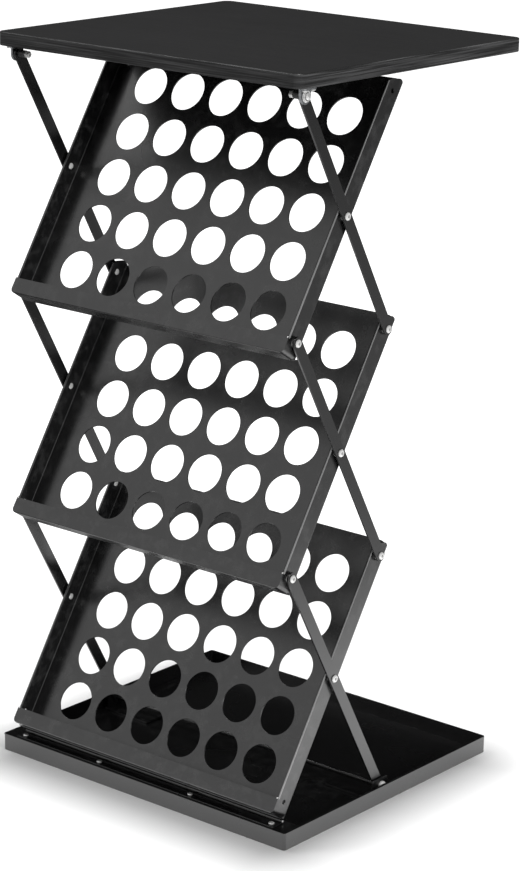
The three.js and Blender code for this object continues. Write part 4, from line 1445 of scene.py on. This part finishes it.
def add_lamp(name, place, target, width, height, power, roll=0.0):
    bpy.ops.object.light_add(type="AREA", location=place)
    lamp = bpy.context.object
    lamp.name = name
    lamp.data.shape = "RECTANGLE"
    lamp.data.size = width
    lamp.data.size_y = height
    lamp.data.energy = power
    aim = (Vector(target) - Vector(place)).to_track_quat("-Z", "Y").to_matrix()
    lamp.rotation_euler = (aim @ Matrix.Rotation(roll, 3, "Z")).to_euler()
    return lamp


def stage_camera(size):
    away = Vector((math.sin(size.azimuth) * math.cos(size.elevation),
                   -math.cos(size.azimuth) * math.cos(size.elevation), math.sin(size.elevation)))
    right = (-away).cross(Vector((0, 0, 1))).normalized()
    up = right.cross(-away)
    rolled_right = right * math.cos(size.roll) + up * math.sin(size.roll)
    rolled_up = up * math.cos(size.roll) - right * math.sin(size.roll)
    turn = Matrix((rolled_right, rolled_up, away)).transposed().to_4x4()
    camera = bpy.data.objects.new("camera", bpy.data.cameras.new("camera"))
    bpy.context.scene.collection.objects.link(camera)
    camera.data.lens = size.lens
    camera.data.sensor_width = 36.0
    camera.matrix_world = Matrix.Translation(Vector(size.target) + away * size.distance) @ turn
    bpy.context.scene.camera = camera


class RACK_OT_stage(bpy.types.Operator):
    """Set up the floor, the even light, the lamps and the camera"""

    bl_idname = "rack.stage"
    bl_label = "Stage"

    def execute(self, context):
        size = context.scene.rack_stage
        stage_floor(size)
        stage_world(size)
        rack_middle = (0.0, -0.1, 0.45)
        add_lamp("overhead_lamp", place=(-0.06, 0.22, 8.0), target=(0.0, 0.0, 0.0),
                 width=0.8, height=0.8, power=670.0)
        add_lamp("front_left_lamp", place=(-1.5, -0.6, 2.4), target=rack_middle,
                 width=0.45, height=0.45, power=12.0)
        edge_lamp = add_lamp("edge_lamp", place=(5.9, -1.02, 2.23), target=rack_middle,
                             width=2.5, height=0.5, power=230.0, roll=TRAY_TILT)
        edge_lamp.visible_glossy = False
        stage_camera(size)
        context.scene.view_settings.view_transform = "Standard"
        return {"FINISHED"}


OPERATORS = (
    RACK_OT_finishes,
    RACK_OT_trays,
    RACK_OT_links,
    RACK_OT_rivets,
    RACK_OT_base,
    RACK_OT_hinge,
    RACK_OT_foot,
    RACK_OT_tabletop,
    RACK_OT_brackets,
    RACK_OT_stage,
)
GROUPS = {
    "rack_sheet": RackSheetSizes,
    "rack_bar": RackBarSizes,
    "rack_top": RackTopSizes,
    "rack_finish": RackFinish,
    "rack_stage": RackStage,
}


class RACK_PT_panel(bpy.types.Panel):
    """Sidebar panel that lists the rack's pieces and sizes"""

    bl_idname = "RACK_PT_panel"
    bl_label = "Periodical Rack"
    bl_space_type = "VIEW_3D"
    bl_region_type = "UI"
    bl_category = "Rack"

    def draw(self, context):
        for operator in OPERATORS:
            self.layout.operator(operator.bl_idname)
        for name, kind in GROUPS.items():
            box = self.layout.box()
            for key in kind.__annotations__:
                box.prop(getattr(context.scene, name), key)


def register():
    for kind in (*GROUPS.values(), *OPERATORS, RACK_PT_panel):
        bpy.utils.register_class(kind)
    for name, kind in GROUPS.items():
        setattr(bpy.types.Scene, name, PointerProperty(type=kind))


def unregister():
    for name in GROUPS:
        delattr(bpy.types.Scene, name)
    for kind in (RACK_PT_panel, *reversed(OPERATORS), *reversed(GROUPS.values())):
        bpy.utils.unregister_class(kind)


def main():
    register()
    for operator in OPERATORS:
        group, name = operator.bl_idname.split(".")
        getattr(getattr(bpy.ops, group), name)()


if __name__ == "__main__":
    main()
